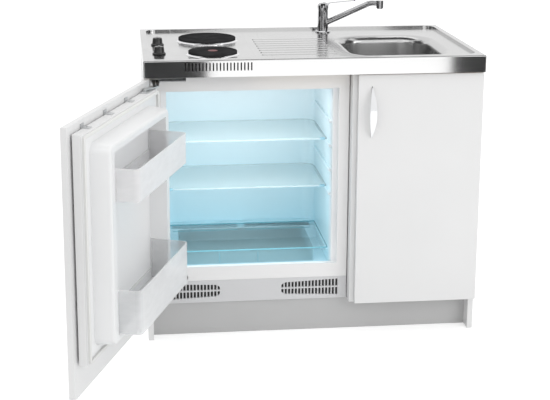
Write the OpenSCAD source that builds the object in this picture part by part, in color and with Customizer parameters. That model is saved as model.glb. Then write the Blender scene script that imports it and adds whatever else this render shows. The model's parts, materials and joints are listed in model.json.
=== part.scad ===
// Kitchenette unit: one-piece steel top with hob, drainer and bowl, over a 60 cm fridge bay and a
// 40 cm base cabinet. The fridge carries a furniture front and stands open, as it is shown.
//
// Sizes are in millimetres. The sub-parts are drawn in the unit's own frame, with X from the left
// edge of the worktop, Y from its front edge and Z from the floor. seat() then moves them so that
// the origin lies on the floor under the middle of the plinth, with +Y towards the wall.

/* [Unit] */
// Overall width of the worktop
unit_w = 1000; // [940:10:1200]
// Overall depth of the worktop
unit_d = 600; // [590:5:650]
// Height of the worktop's rim over the floor
unit_h = 860; // [850:5:900]
// Clear width of the bay that takes the fridge
bay_w = 593.5; // [590:0.5:600]

/* [Boards] */
// Thickness of the carcass boards
board_t = 16; // [15:1:19]
// Thickness of the thin back board
back_t = 3; // [3:1:6]
// Height of the plinth
plinth_h = 100; // [90:5:110]
// Set-back of the plinth behind the front edge of the sides
plinth_recess = 42; // [35:1:60]
// Inset of the sides from the worktop's edge
reveal = 1.5; // [1.5:0.5:3]
// Gap between the boards and the wall
wall_gap = 5; // [3:1:15]
// Height of the cabinet shelf's underside over the floor
shelf_z = 400; // [340:5:470]
// Thickness of the furniture doors
door_t = 16; // [16:1:19]
// Gap between a closed door and the boards behind it
door_gap = 2; // [1.6:0.1:3]
// Joint between two neighbouring doors
door_joint = 3; // [2:0.5:4]

/* [Worktop] */
// Thickness of the steel sheet
sheet_t = 1; // [0.8:0.1:1.4]
// Height of the front and side bands
band_h = 50; // [44:1:52]
// Overhang of the worktop in front of the boards
top_overhang = 30; // [28:1:40]
// Height from the top of the boards to the worktop's rim
top_build = 40; // [38:1:44]
// Depth of the pressed field below the rim
field_drop = 7; // [5:0.5:9]
// Width of the rim at the sides and the back
rim_w = 20; // [14:1:26]
// Width of the rim at the front
front_rim_w = 28; // [24:1:34]
// Corner radius of the pressed field
field_r = 30; // [20:1:40]
// Length of the drainer's ribs
rib_l = 225; // [180:5:240]
// Number of ribs in the drainer
rib_count = 8; // [5:1:10]
// Distance between two ribs
rib_pitch = 40; // [34:1:44]
// Number of ventilation slots in the front band
vent_count = 20; // [14:1:24]
// Distance between two ventilation slots
vent_pitch = 10; // [8:0.5:12]
// Width of a ventilation slot
vent_w = 4; // [3:0.5:5]
// Height of a ventilation slot
vent_h = 24; // [18:1:30]

/* [Bowl] */
// Gap between the middle board and the bowl's wall
bowl_gap = 3; // [2:0.5:6]
// Length of the bowl from front to back
bowl_l = 393; // [350:1:400]
// Depth of the bowl below the field
bowl_depth = 150; // [120:5:170]
// Radius of the bowl's corners
bowl_r = 105; // [70:5:120]
// Radius of the rounded shoulder between the field and the bowl's walls
bowl_shoulder = 24; // [18:1:28]
// Radius between the bowl's walls and its bottom
bowl_fillet = 34; // [20:1:40]
// Distance from the worktop's right edge to the bowl
bowl_right = 70; // [60:1:90]
// Distance from the worktop's front edge to the bowl
bowl_front = 48; // [40:1:56]
// Radius of the waste hole
waste_r = 26; // [24:0.5:30]

/* [Hob] */
// Distance of both hotplates' centres from the left edge
plate_x = 208; // [190:1:220]
// Distance of the front hotplate's centre from the front edge
plate_front_y = 135; // [125:1:150]
// Distance of the rear hotplate's centre from the front edge
plate_rear_y = 385; // [360:1:400]
// Diameter of the front hotplate
plate_front_d = 145; // [140:1:150]
// Diameter of the rear hotplate
plate_rear_d = 180; // [170:1:186]
// Height of the hotplates over the field
plate_rise = 12; // [8:0.5:16]
// Distance of the knobs' centres from the left edge
knob_x = 50; // [46:1:60]
// Distance of the front knob's centre from the front edge
knob_front_y = 152; // [130:1:180]
// Distance of the rear knob's centre from the front edge
knob_rear_y = 314; // [280:1:340]
// Diameter of the knobs
knob_d = 40; // [34:1:46]
// Height of the knobs
knob_h = 25; // [18:1:28]
// Diameter of the knobs' spindles
spindle_d = 6; // [5:0.5:8]

/* [Tap] */
// Distance of the tap's axis from the left edge
tap_x = 600; // [560:1:610]
// Distance of the tap's axis from the rear edge
tap_back = 76; // [64:1:80]
// Diameter of the tap's body
tap_d = 36; // [32:1:44]
// Height of the tap's fixed foot
tap_foot_h = 14; // [10:1:20]
// Height of the ring that swivels with the spout
tap_ring_h = 36; // [30:1:44]
// Height of the fixed head over the swivel ring
tap_head_h = 22; // [16:1:30]
// Diameter of the spout
spout_d = 18; // [16:1:22]
// Reach of the spout from the tap's axis
spout_reach = 190; // [170:5:240]
// Rise of the spout's straight run, in degrees over the horizontal
spout_rise = 26; // [20:1:40]
// Direction of the spout as shown, in degrees from +X
spout_azimuth = -25; // [-80:1:10]
// Length of the tap's lever
lever_l = 92; // [70:1:110]
// Direction of the lever as shown, in degrees from +X
lever_azimuth = -8; // [-60:1:60]

/* [Fridge] */
// Side gap between the fridge and the boards of its bay
fridge_gap = 2.75; // [2:0.25:5]
// Thickness of the fridge's inner liner
liner_t = 2; // [1.5:0.1:3]
// Thickness of the foamed side walls
wall_t = 46; // [40:1:50]
// Width of the white frame round the opening at the sides
frame_w = 31; // [30:1:36]
// Underside of the fridge's frame over the floor
frame_z0 = 171; // [165:1:180]
// Height of the frame's threshold
threshold_h = 43; // [42:1:46]
// Top of the opening below the frame's top
frame_head_h = 50; // [48:1:54]
// Thickness of the foamed back wall
back_wall_t = 45; // [40:1:50]
// Depth of the space behind the fridge's casing, for its condenser and the tap's shank
rear_space = 95; // [92:1:120]
// Height of the step over the compressor, above the floor of the cold room
step_h = 42; // [36:1:44]
// Depth of that step
step_d = 78; // [70:1:100]
// Heights of the two glass shelves over the floor
shelf_heights = [424, 574];
// Thickness of a glass shelf
glass_t = 4; // [4:0.5:6]

/* [Fridge door] */
// Opening angle of the fridge door as shown
door_open = 110; // [0:1:115]
// Gap between the furniture front and the fridge's own door
shell_gap = 5; // [4:0.5:8]
// Thickness of the fridge's own door, with its liner's flange
shell_t = 26; // [24:1:32]
// Thickness of the door seal
seal_t = 7.7; // [6:0.1:9]
// Width of the door seal
seal_w = 18; // [14:1:20]
// Height of the raised rim inside the door
dyke_h = 52; // [40:1:54]
// Width of the raised rim's side parts
dyke_w = 30; // [24:1:36]
// Depth of the door balconies over the door's inner face
balcony_d = 113; // [90:1:115]
// Drop of the upper balcony's floor below the top of the raised rim
balcony_upper_drop = 146; // [126:5:186]
// Height of the lower balcony's floor over the floor
balcony_lower_z = 250; // [246:2:300]

/* [Handle] */
// Length of the bow handle
handle_l = 158; // [120:2:180]
// Width of the bow handle at its middle
handle_w = 20; // [14:1:26]
// Distance of the bow from the door at its middle
handle_out = 28; // [22:1:34]

/* [Hidden] */

$fn = 48;

// Main planes and edges
boards_y = top_overhang;
boards_back = unit_d - wall_gap;
boards_top = unit_h - top_build;
bay_x = reveal + board_t;
mid_x = bay_x + bay_w;
cab_x0 = mid_x + board_t;
cab_x1 = unit_w - reveal - board_t;
door_back = boards_y - door_gap;
door_front = door_back - door_t;
door_z0 = plinth_h + 1;
door_z1 = unit_h - band_h - 4;
door_split = mid_x + board_t - door_joint;
field_z = unit_h - field_drop;
origin_y = boards_y + plinth_recess + board_t / 2;
tap_y = unit_d - tap_back;

// Colours
white = "white";
steel = "silver";
chrome = "gainsboro";
black = "dimgray";

module seat() { translate([-unit_w / 2, -origin_y, 0]) children(); }

// A box from one corner to the opposite one
module span(a, b) { translate(a) cube(b - a); }

// A rectangle with round corners, from one corner to the opposite one
module round_rect(a, b, r) {
    translate([a.x + r, a.y]) square([b.x - a.x - 2 * r, b.y - a.y]);
    translate([a.x, a.y + r]) square([b.x - a.x, b.y - a.y - 2 * r]);
    for (x = [a.x + r, b.x - r], y = [a.y + r, b.y - r]) translate([x, y]) circle(r);
}

// A flat outline drawn in X and Z, given depth from y0 to y1
module front_view(y0, y1) {
    translate([0, y1, 0]) rotate([90, 0, 0]) linear_extrude(y1 - y0) children();
}

// A plan outline given height from z0 to z1
module plan_view(z0, z1) { translate([0, 0, z0]) linear_extrude(z1 - z0) children(); }

// A ring or tube standing at a point
module tube(at, r_out, r_in, h) {
    translate(at) linear_extrude(h) difference() { circle(r_out); circle(r_in); }
}

// ---------------------------------------------------------------- worktop

edge_r = 4;

module top_profile(width, d) {
    round_top = edge_r - d;
    translate([d, -band_h]) square([width - 2 * d, band_h - edge_r]);
    translate([edge_r, -band_h]) square([width - 2 * edge_r, band_h - d]);
    for (x = [edge_r, width - edge_r]) translate([x, -edge_r]) circle(round_top);
}

// The folded sheet as a full block, d inside its outer face
module folded_block(d) {
    intersection() {
        translate([0, 0, unit_h]) rotate([90, 0, 90]) linear_extrude(unit_w) top_profile(unit_d, d);
        translate([0, unit_d, unit_h]) rotate([90, 0, 0]) linear_extrude(unit_d) top_profile(unit_w, d);
        plan_view(unit_h - band_h, unit_h) round_rect([d, d], [unit_w - d, unit_d - d], edge_r - d);
    }
}

module field_outline(d) {
    round_rect([rim_w + d, front_rim_w + d], [unit_w - rim_w - d, unit_d - rim_w - d], field_r - d);
}

bowl_x1 = unit_w - bowl_right;
bowl_x0 = cab_x0 + bowl_gap + sheet_t - bowl_shoulder;
bowl_w = bowl_x1 - bowl_x0;
bowl_y1 = bowl_front + bowl_l;
bowl_floor = field_z - bowl_depth;
wall_x1 = bowl_x1 - bowl_shoulder;
waste_x = (bowl_x0 + bowl_x1) / 2;
waste_y = (bowl_front + bowl_y1) / 2;

module bowl_outline(d) {
    round_rect([bowl_x0 - d, bowl_front - d], [bowl_x1 + d, bowl_y1 + d], bowl_r + d);
}

hob_edge = 8;
drum_gap = 1;
spindle_gap = 1.5;
tap_hole_r = 17;
vent_x0 = plate_x - 90;
vent_top = unit_h - 8;
rib_x0 = bowl_x0 - 30 - rib_l;
rib_y0 = bowl_front + 60;
rib_w = 8;
rib_h = 1.2;

module hob_holes() {
    translate([plate_x, plate_front_y]) circle(plate_front_d / 2 - hob_edge + drum_gap);
    translate([plate_x, plate_rear_y]) circle(plate_rear_d / 2 - hob_edge + drum_gap);
    for (y = [knob_front_y, knob_rear_y]) translate([knob_x, y]) circle(spindle_d / 2 + spindle_gap);
}

module worktop() color(steel) seat() {
    difference() {
        union() {
            difference() {
                folded_block(0);
                translate([0, 0, -0.01]) folded_block(sheet_t);
                plan_view(unit_h - sheet_t - 1, unit_h + 1) field_outline(0);
            }
            plan_view(field_z - sheet_t, unit_h - sheet_t / 2) difference() {
                field_outline(-sheet_t);
                field_outline(0);
            }
            plan_view(field_z - sheet_t, field_z) field_outline(0);
            for (i = [0 : rib_count - 1])
                plan_view(field_z, field_z + rib_h)
                    round_rect([rib_x0, rib_y0 + i * rib_pitch],
                               [rib_x0 + rib_l, rib_y0 + i * rib_pitch + rib_w], rib_w / 2 - 0.1);
        }
        plan_view(field_z - sheet_t - 1, field_z + 2) {
            bowl_outline(0);
            hob_holes();
            translate([tap_x, tap_y]) circle(tap_hole_r);
        }
        for (i = [0 : vent_count - 1])
            front_view(-1, sheet_t + 1)
                round_rect([vent_x0 + i * vent_pitch, vent_top - vent_h],
                           [vent_x0 + i * vent_pitch + vent_w, vent_top], vent_w / 2 - 0.1);
    }
}

// A section drawn outwards from the bowl's outline, swept all round it
module around_bowl() {
    w = bowl_w - 2 * bowl_r;
    l = bowl_l - 2 * bowl_r;
    translate([waste_x, waste_y, 0]) for (side = [0 : 3]) {
        across = side % 2 == 0 ? w : l;
        along = side % 2 == 0 ? l : w;
        rotate(side * 90) {
            translate([across / 2, along / 2, 0])
                rotate_extrude(angle = 90, $fn = 96) translate([bowl_r, 0]) children();
            translate([across / 2 + bowl_r, along / 2, 0])
                rotate([90, 0, 0]) linear_extrude(along) children();
        }
    }
}

bowl_draft = 6;
slot_w = 8;
slot_h = 20;
slot_pitch = 22;
bowl_lip = 12;

// The bowl below its shoulder, grown by d: round corner posts above, a torus at each corner below
module bowl_body(d, top) {
    r = bowl_r - bowl_shoulder;
    hull() for (x = [bowl_x0 + bowl_r, bowl_x1 - bowl_r], y = [bowl_front + bowl_r, bowl_y1 - bowl_r])
        translate([x, y, 0]) {
            translate([0, 0, top - 1]) cylinder(r = r + d, h = 1, $fn = 64);
            translate([0, 0, bowl_floor + bowl_fillet])
                rotate_extrude($fn = 64) translate([r - bowl_draft - bowl_fillet, 0]) circle(bowl_fillet + d, $fn = 24);
        }
}

module sink_bowl() color(steel) seat() {
    shoulder_z = field_z - bowl_shoulder;
    difference() {
        bowl_body(sheet_t, shoulder_z);
        bowl_body(0, shoulder_z + 1);
        translate([waste_x, waste_y, bowl_floor - 5]) cylinder(r = waste_r, h = 10);
        for (y = [-slot_pitch / 2, slot_pitch / 2])
            translate([wall_x1 - 12, waste_y + y - slot_w / 2, shoulder_z - slot_h - 4]) cube([24, slot_w, slot_h]);
    }
    around_bowl() difference() {
        intersection() {
            translate([0, shoulder_z]) circle(bowl_shoulder);
            translate([-bowl_shoulder, shoulder_z]) square(bowl_shoulder);
        }
        translate([0, shoulder_z]) circle(bowl_shoulder - sheet_t);
    }
    plan_view(field_z - 2 * sheet_t, field_z - sheet_t) difference() {
        bowl_outline(bowl_lip);
        bowl_outline(-3);
    }
}

hob_x0 = knob_x - 20;
hob_x1 = plate_x + plate_rear_d / 2 + 27;
hob_y0 = front_rim_w + 6;
hob_y1 = unit_d - rim_w - 20;

module underlay() color("burlywood") seat()
    plan_view(boards_top, field_z - sheet_t) difference() {
        round_rect([sheet_t, sheet_t], [unit_w - sheet_t, unit_d - sheet_t], edge_r);
        translate([hob_x0, hob_y0]) square([hob_x1 - hob_x0, hob_y1 - hob_y0]);
        bowl_outline(bowl_lip + 4);
        translate([tap_x, tap_y]) circle(tap_hole_r);
        translate([vent_x0 - 8, 0]) square([vent_count * vent_pitch + 12, hob_y0 + 1]);
    }

// ---------------------------------------------------------------- boards

module sides() color(white) seat() for (x = [reveal, cab_x1])
    span([x, boards_y, 0], [x + board_t, boards_back, boards_top]);

tap_notch = 34;
tap_notch_h = 60;

// The middle board has a notch at the back for the tap's nut and the pipes
module side_middle() color(white) seat() difference() {
    span([mid_x, boards_y, plinth_h], [cab_x0, boards_back, boards_top]);
    span([mid_x - 1, tap_y - tap_notch, boards_top - tap_notch_h], [cab_x0 + 1, boards_back + 1, boards_top + 1]);
}

module cabinet_floor() color(white) seat()
    span([cab_x0, boards_y + 2, plinth_h], [cab_x1, boards_back, plinth_h + board_t]);

back_y = boards_back - 35;
port_side = 31.5;
port_past_waste = 70;
port_z0 = 430;
port_z1 = 640;

module cabinet_back() color(white) seat() difference() {
    span([cab_x0, back_y, plinth_h + board_t], [cab_x1, back_y + back_t, boards_top]);
    span([cab_x0 + port_side, back_y - 1, port_z0], [waste_x + port_past_waste, back_y + back_t + 1, port_z1]);
}

shelf_y0 = 130;
shelf_clear = 1;
notch_half = 60;
notch_l = 190;

module cabinet_shelf() color(white) seat() difference() {
    span([cab_x0 + shelf_clear, shelf_y0, shelf_z], [cab_x1 - shelf_clear, back_y - 2, shelf_z + board_t]);
    span([waste_x - notch_half, back_y - notch_l, shelf_z - 1], [waste_x + notch_half, back_y, shelf_z + board_t + 1]);
}

pin_r = 2.5;

module shelf_pins() color(steel) seat()
    for (x = [cab_x0, cab_x1], y = [shelf_y0 + 40, back_y - 60]) {
        side = x == cab_x0 ? 1 : -1;
        translate([x, y, shelf_z - pin_r - 0.3]) rotate([0, 90 * side, 0]) cylinder(r = pin_r, h = 9, $fn = 24);
    }

module plinth() color(white) seat()
    span([bay_x, boards_y + plinth_recess, 0], [cab_x1, boards_y + plinth_recess + board_t, plinth_h - 1]);

base_lift = 20;
foot_side = 40;
foot_end = 60;
base_foot_end = 30;

module foot(h, r) {
    cylinder(r = r, h = 10);
    cylinder(r = r * 0.45, h = h);
}

module feet() color(black) seat() {
    for (y = [boards_y + plinth_recess + foot_end, boards_back - foot_end])
        translate([cab_x0 + foot_side, y, 0]) foot(plinth_h, 26);
    for (x = [fridge_x0 + foot_side, fridge_x1 - foot_side], y = [base_y0 + base_foot_end, base_y1 - base_foot_end])
        translate([x, y, 0]) foot(base_lift, 16);
}

// ---------------------------------------------------------------- hob

tray_t = 1;
tray_z = boards_top + 2;
tray_gap = 2;

module hob_tray() color(steel) seat() difference() {
    top = field_z - sheet_t;
    span([hob_x0 + tray_gap, hob_y0 + tray_gap, tray_z], [hob_x1 - tray_gap, hob_y1 - tray_gap, top]);
    span([hob_x0 + tray_gap + tray_t, hob_y0 + tray_gap + tray_t, tray_z + tray_t],
         [hob_x1 - tray_gap - tray_t, hob_y1 - tray_gap - tray_t, top + 1]);
    for (i = [0 : vent_count / 2 - 1])
        translate([vent_x0 + vent_w + i * 2 * vent_pitch, hob_y0, tray_z + 8]) cube([8, tray_gap + tray_t + 2, 14]);
}

ring_h = 5;
ring_out = 6.5;

// The cast-iron plate: a drum through the sheet and a disc with a groove round its sunken middle
module hotplate(d) {
    r = d / 2;
    rotate_extrude($fn = 96) polygon([
        [0, -6], [r - hob_edge, -6], [r - hob_edge, ring_h], [r, ring_h], [r, plate_rise - 1.5],
        [r - 1.5, plate_rise], [r - 9, plate_rise], [r - 10, plate_rise - 0.6], [r - 11, plate_rise - 0.6],
        [r - 12, plate_rise], [19, plate_rise], [17.5, plate_rise - 2], [0, plate_rise - 2]
    ]);
}

module hotplate_front() color(black) seat()
    translate([plate_x, plate_front_y, field_z]) hotplate(plate_front_d);

module hotplate_rear() color(black) seat()
    translate([plate_x, plate_rear_y, field_z]) hotplate(plate_rear_d);

module spill_ring(d) {
    r = d / 2;
    rotate_extrude($fn = 96) polygon([
        [r - hob_edge + 0.3, 0], [r + ring_out, 0], [r + ring_out, 1], [r + ring_out - 2, 2.4],
        [r + 2.6, ring_h - 0.8], [r + 1.6, ring_h], [r - hob_edge + 0.3, ring_h]
    ]);
}

module spill_rings() color(chrome) seat() {
    translate([plate_x, plate_front_y, field_z]) spill_ring(plate_front_d);
    translate([plate_x, plate_rear_y, field_z]) spill_ring(plate_rear_d);
}

module underside(d) {
    r = d / 2 - hob_edge - 4;
    translate([0, 0, -18]) cylinder(r = r, h = 12);
    translate([0, 0, -24]) cylinder(r = 5, h = 8, $fn = 24);
    translate([0, 0, -22]) cylinder(r = 9, h = 4, $fn = 6);
}

module plate_undersides() color(steel) seat() {
    translate([plate_x, plate_front_y, field_z]) underside(plate_front_d);
    translate([plate_x, plate_rear_y, field_z]) underside(plate_rear_d);
}

switch_w = 36;
switch_top = field_z - sheet_t;

module hob_switches() color(white) seat() for (y = [knob_front_y, knob_rear_y]) difference() {
    translate([knob_x - switch_w / 2 + 6, y - switch_w / 2, tray_z + tray_t])
        cube([switch_w, switch_w, switch_top - tray_z - tray_t]);
    translate([knob_x, y, switch_top - 18]) cylinder(r = spindle_d / 2 + 0.05, h = 30, $fn = 32);
}

// A knob with a wide skirt, a waist and a raised grip, on its spindle
module knob() {
    r = knob_d / 2;
    rotate_extrude($fn = 64) polygon([
        [0, 0.6], [r, 0.6], [r, 3], [r - 1, 4.5], [r - 3, 6], [r - 4.5, knob_h - 3], [r - 6, knob_h - 1.4],
        [r - 8, knob_h - 1], [0, knob_h - 1]
    ]);
    plan_view(knob_h - 1.01, knob_h) intersection() { circle(r - 8); square([6, knob_d], center = true); }
    translate([0, 0, -sheet_t - 16]) cylinder(r = spindle_d / 2, h = 20, $fn = 32);
}

module knob_front() color(black) seat() translate([knob_x, knob_front_y, field_z]) knob();
module knob_rear() color(black) seat() translate([knob_x, knob_rear_y, field_z]) knob();

// ---------------------------------------------------------------- waste and tap

waste_flange_r = waste_r + 14;
tail_r = 22;
spigot_r = 20;
spigot_l = 40;
trap_z0 = 450;
trap_r = 38;

module waste_strainer() color(steel) seat() translate([waste_x, waste_y, 0]) difference() {
    union() {
        translate([0, 0, bowl_floor]) cylinder(r = waste_flange_r - 4, h = 1.2);
        translate([0, 0, bowl_floor - 40]) cylinder(r = waste_r - 0.3, h = 41);
    }
    translate([0, 0, bowl_floor - 41]) cylinder(r = waste_r - 3, h = 40);
    for (a = [0 : 30 : 330]) rotate(a) translate([16, 0, bowl_floor - 5]) cylinder(r = 2, h = 10, $fn = 16);
    for (a = [0 : 60 : 300]) rotate(a) translate([8, 0, bowl_floor - 5]) cylinder(r = 2, h = 10, $fn = 16);
}

module waste_trap() color(white) seat() translate([waste_x, waste_y, 0]) {
    top = bowl_floor - 40;
    // union nut and tail pipe
    tube([0, 0, bowl_floor - sheet_t - 14], waste_r + 8, waste_r, 13.7);
    difference() {
        union() {
            translate([0, 0, top - 14]) cylinder(r = waste_r, h = 14);
            translate([0, 0, trap_z0 + 60]) cylinder(r = tail_r, h = top - trap_z0 - 60);
            translate([0, 0, trap_z0]) cylinder(r = trap_r, h = 120);
            translate([0, 0, trap_z0 + 110]) cylinder(r = trap_r + 5, h = 18);
            translate([0, 0, trap_z0 + 70]) rotate([-90, 0, 0]) cylinder(r = tail_r, h = boards_back - waste_y - 45);
            translate([0, boards_back - waste_y - 46, trap_z0 + 70]) rotate([-90, 0, 0])
                cylinder(r = spigot_r, h = spigot_l + 1);
        }
        translate([0, 0, trap_z0 + 20]) cylinder(r = tail_r - 3, h = bowl_floor - trap_z0);
        translate([0, trap_r, trap_z0 + 70]) rotate([-90, 0, 0]) cylinder(r = tail_r - 3, h = boards_back - waste_y);
    }
}

overflow_x = wall_x1 + 9;
overflow_z = field_z - bowl_shoulder - 14;
hose_r = 9;
hose_bend = 26;

module overflow_pipe() color(white) seat() {
    low = bowl_floor - 26;
    translate([wall_x1 + sheet_t + 0.3, waste_y - 20, overflow_z - 16]) cube([14, 40, 32]);
    translate([overflow_x, waste_y, low + hose_bend])
        cylinder(r = hose_r, h = overflow_z - low - hose_bend - 14, $fn = 32);
    translate([overflow_x - hose_bend, waste_y, low + hose_bend]) rotate([90, 0, 0])
        rotate([0, 0, -90]) rotate_extrude(angle = 90, $fn = 48) translate([hose_bend, 0]) circle(hose_r, $fn = 32);
    translate([waste_x + waste_r, waste_y, low]) rotate([0, 90, 0])
        cylinder(r = hose_r, h = overflow_x - hose_bend - waste_x - waste_r, $fn = 32);
}

module at_tap() { translate([tap_x, tap_y, field_z]) children(); }

tap_r = tap_d / 2;
shank_r = 15.5;
shank_l = 80;
inlet_r = 5;
inlet_l = 15;
inlet_pitch = 14;
core_r = 12;
core_clear = 0.1;
ring_z = tap_foot_h + 0.3;
head_z = ring_z + tap_ring_h + 0.3;
cap_z = head_z + tap_head_h + 0.3;
cap_h = 24;
lever_z = cap_z + cap_h / 2 + 2;

module tap_foot() color(chrome) seat() at_tap() difference() {
    rotate_extrude($fn = 64) polygon([
        [0, 0], [tap_r + 7, 0], [tap_r + 7, 3], [tap_r + 4, 5.5], [tap_r, 6.5], [tap_r, tap_foot_h], [0, tap_foot_h]
    ]);
    translate([0, 0, -1]) cylinder(r = core_r + 0.05, h = tap_foot_h + 2);
}

// The fixed core: shank under the worktop, column inside the ring, and the head that holds the cartridge
module tap_core() color(chrome) seat() at_tap() {
    difference() {
        translate([0, 0, -shank_l]) cylinder(r = shank_r, h = shank_l);
        for (x = [-inlet_pitch / 2, inlet_pitch / 2])
            translate([x, 0, -shank_l - 1]) cylinder(r = inlet_r, h = inlet_l + 1, $fn = 32);
    }
    cylinder(r = core_r, h = head_z + 1);
    translate([0, 0, head_z]) cylinder(r = tap_r, h = tap_head_h - 2);
    translate([0, 0, head_z + tap_head_h - 2.01]) cylinder(r = tap_r - 1, h = 2.01);
    translate([0, 0, cap_z - 0.5]) cylinder(r = 9, h = 11.7);
}

// The washer and nut that pull the tap down from under the board
module tap_nut() color(steel) seat() at_tap()
    translate([0, 0, boards_top - field_z]) difference() {
        union() {
            translate([0, 0, -4]) cylinder(r = 22, h = 4);
            translate([0, 0, -13]) cylinder(r = 21, h = 10, $fn = 6);
        }
        translate([0, 0, -14]) cylinder(r = shank_r + 0.1, h = 20);
    }

spout_r = spout_d / 2;
spout_z = ring_z + 12;
spout_bend = 45;
nozzle_r = 12;
spout_level = 22;
spout_run = (spout_reach - spout_level - spout_bend * sin(spout_rise)) / cos(spout_rise);
spout_top = spout_z + spout_run * sin(spout_rise) + spout_bend * (1 - cos(spout_rise));

// Stations of the spout's centre line: distance from the axis, height, slope
bend_steps = 6;
spout_stations = concat(
    [[core_r + 2, spout_z + (core_r + 2) * tan(spout_rise), spout_rise]],
    [for (i = [0 : bend_steps]) let (a = spout_rise * (1 - i / bend_steps))
        [spout_reach - spout_level - spout_bend * sin(a), spout_top - spout_bend * (1 - cos(a)), a]],
    [[spout_reach, spout_top, 0]]
);

// A round tube swept along stations, tapering by a share of its radius from the first to the last
module swept_tube(stations, r, taper, sides) {
    n = len(stations);
    points = [for (i = [0 : n - 1], j = [0 : sides - 1])
        let (s = stations[i], q = r * (1 + taper * (0.5 - i / (n - 1))), t = 360 * j / sides)
        [s[0] - q * sin(t) * sin(s[2]), q * cos(t), s[1] + q * sin(t) * cos(s[2])]];
    walls = [for (i = [0 : n - 2], j = [0 : sides - 1])
        let (k = (j + 1) % sides, lo = i * sides, hi = lo + sides)
        each [[lo + j, hi + k, lo + k], [lo + j, hi + j, hi + k]]];
    ends = [[for (j = [0 : sides - 1]) j], [for (j = [sides - 1 : -1 : 0]) (n - 1) * sides + j]];
    polyhedron(points, concat(walls, ends));
}

module tap_spout() color(chrome) seat() at_tap() {
    difference() {
        union() {
            translate([0, 0, ring_z]) cylinder(r = tap_r, h = tap_ring_h, $fn = 64);
            rotate(spout_azimuth) {
                swept_tube(spout_stations, spout_r, 0.12, 32);
                translate([spout_reach, 0, spout_top - 14]) cylinder(r = nozzle_r, h = 14 + spout_r, $fn = 48);
            }
        }
        translate([0, 0, ring_z - 1]) cylinder(r = core_r + core_clear, h = tap_ring_h + 2, $fn = 64);
        rotate(spout_azimuth) translate([spout_reach, 0, spout_top - 15]) cylinder(r = nozzle_r - 2, h = 9, $fn = 48);
    }
}

module tap_aerator() color(steel) seat() at_tap() rotate(spout_azimuth)
    translate([spout_reach, 0, spout_top - 17]) difference() {
        cylinder(r = nozzle_r - 2.05, h = 10.7, $fn = 48);
        translate([0, 0, -1]) cylinder(r = nozzle_r - 5, h = 7, $fn = 48);
    }

lever_slot = 9;
lever_pin_r = 2;

// The cap turns on the core and has a slot for the lever, whose pin crosses it
module tap_cap() color(chrome) seat() at_tap() rotate(lever_azimuth) difference() {
    rotate_extrude($fn = 64) polygon([
        [0, cap_z], [tap_r, cap_z], [tap_r + 1, cap_z + cap_h * 0.4], [tap_r, cap_z + cap_h * 0.7],
        [tap_r - 4, cap_z + cap_h * 0.92], [tap_r - 9, cap_z + cap_h], [0, cap_z + cap_h]
    ]);
    translate([0, 0, cap_z - 1]) cylinder(r = 9 + core_clear, h = 12.5);
    translate([0, -lever_slot / 2, cap_z + 12]) cube([tap_r + 5, lever_slot, cap_h]);
    translate([8, 0, lever_z + 3]) rotate([90, 0, 0])
        cylinder(r = lever_pin_r + 0.06, h = 2 * tap_r - 11.4, center = true, $fn = 32);
}

// The lever: a thin blade that widens to its tip, with the pin it tilts on
module tap_lever() color(chrome) seat() at_tap() rotate(lever_azimuth) translate([8, 0, lever_z + 3]) {
    rotate([90, 0, 0]) cylinder(r = lever_pin_r, h = 2 * tap_r - 12, center = true, $fn = 32);
    rotate([90, 0, 0]) translate([0, 0, -3.5]) linear_extrude(7) polygon([
        [-4, -3], [10, -3], [13, 3], [16, 5], [16, 9], [4, 6], [-4, 3]
    ]);
    translate([14, 0, 5]) rotate([0, -6, 0]) linear_extrude(3.5) polygon([
        [0, -3.5], [lever_l * 0.6, -5], [lever_l - 12, -6.5], [lever_l - 8, -5],
        [lever_l - 8, 5], [lever_l - 12, 6.5], [lever_l * 0.6, 5], [0, 3.5]
    ]);
}

// ---------------------------------------------------------------- fridge

fridge_x0 = bay_x + fridge_gap;
fridge_x1 = mid_x - fridge_gap;
seal_gap = 0.3;
shell_y0 = door_back + shell_gap;
shell_y1 = shell_y0 + shell_t;
fridge_y = shell_y1 + seal_t + seal_gap;
frame_z1 = boards_top - 12;
casing_z1 = boards_top - 5;
casing_z0 = frame_z0 - 33;
open_x0 = fridge_x0 + frame_w;
open_x1 = fridge_x1 - frame_w;
open_z0 = frame_z0 + threshold_h;
open_z1 = frame_z1 - frame_head_h;
room_x0 = fridge_x0 + wall_t;
room_x1 = fridge_x1 - wall_t;
room_y0 = fridge_y + 18;
room_y1 = boards_back - rear_space - back_wall_t;
room_z0 = frame_z0 + 23;
room_z1 = open_z1 - 6;
casing_y1 = boards_back - rear_space;
step_z = room_z0 + step_h;
step_y = room_y1 - step_d;
niche_z = step_z - 36;
niche_y = step_y + 30;
base_y0 = boards_y + plinth_recess + board_t + 24;
base_y1 = unit_d - 55;
room_r = 40;

module room_plan(d) {
    translate([room_x0 - d, room_y0 - d]) square([room_x1 - room_x0 + 2 * d, room_y1 - room_y0 - room_r + d]);
    translate([room_x0 + room_r, room_y0]) square([room_x1 - room_x0 - 2 * room_r, room_y1 - room_y0 + d]);
    for (x = [room_x0 + room_r, room_x1 - room_r])
        translate([x, room_y1 - room_r]) circle(room_r + d, $fn = 64);
}

// The cold room grown by d: its mouth, the room over the step, and the low part in front of it
module cold_room(d) {
    span([open_x0 - d, fridge_y - 5, open_z0 - d], [open_x1 + d, room_y0 + d, open_z1 + d]);
    plan_view(step_z - d, room_z1 + d) room_plan(d);
    plan_view(room_z0 - d, step_z) intersection() {
        room_plan(d);
        square([unit_w, step_y + d]);
    }
}

pocket_x1 = fridge_x0 + 104;
pocket_y1 = fridge_y + 36;

// The room in the frame and the foam for each door hinge
module hinge_pockets() {
    at_hinges() span([fridge_x0 + 3.5, fridge_y - 5, 0.8], [pocket_x1, pocket_y1, 15]);
}

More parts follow.
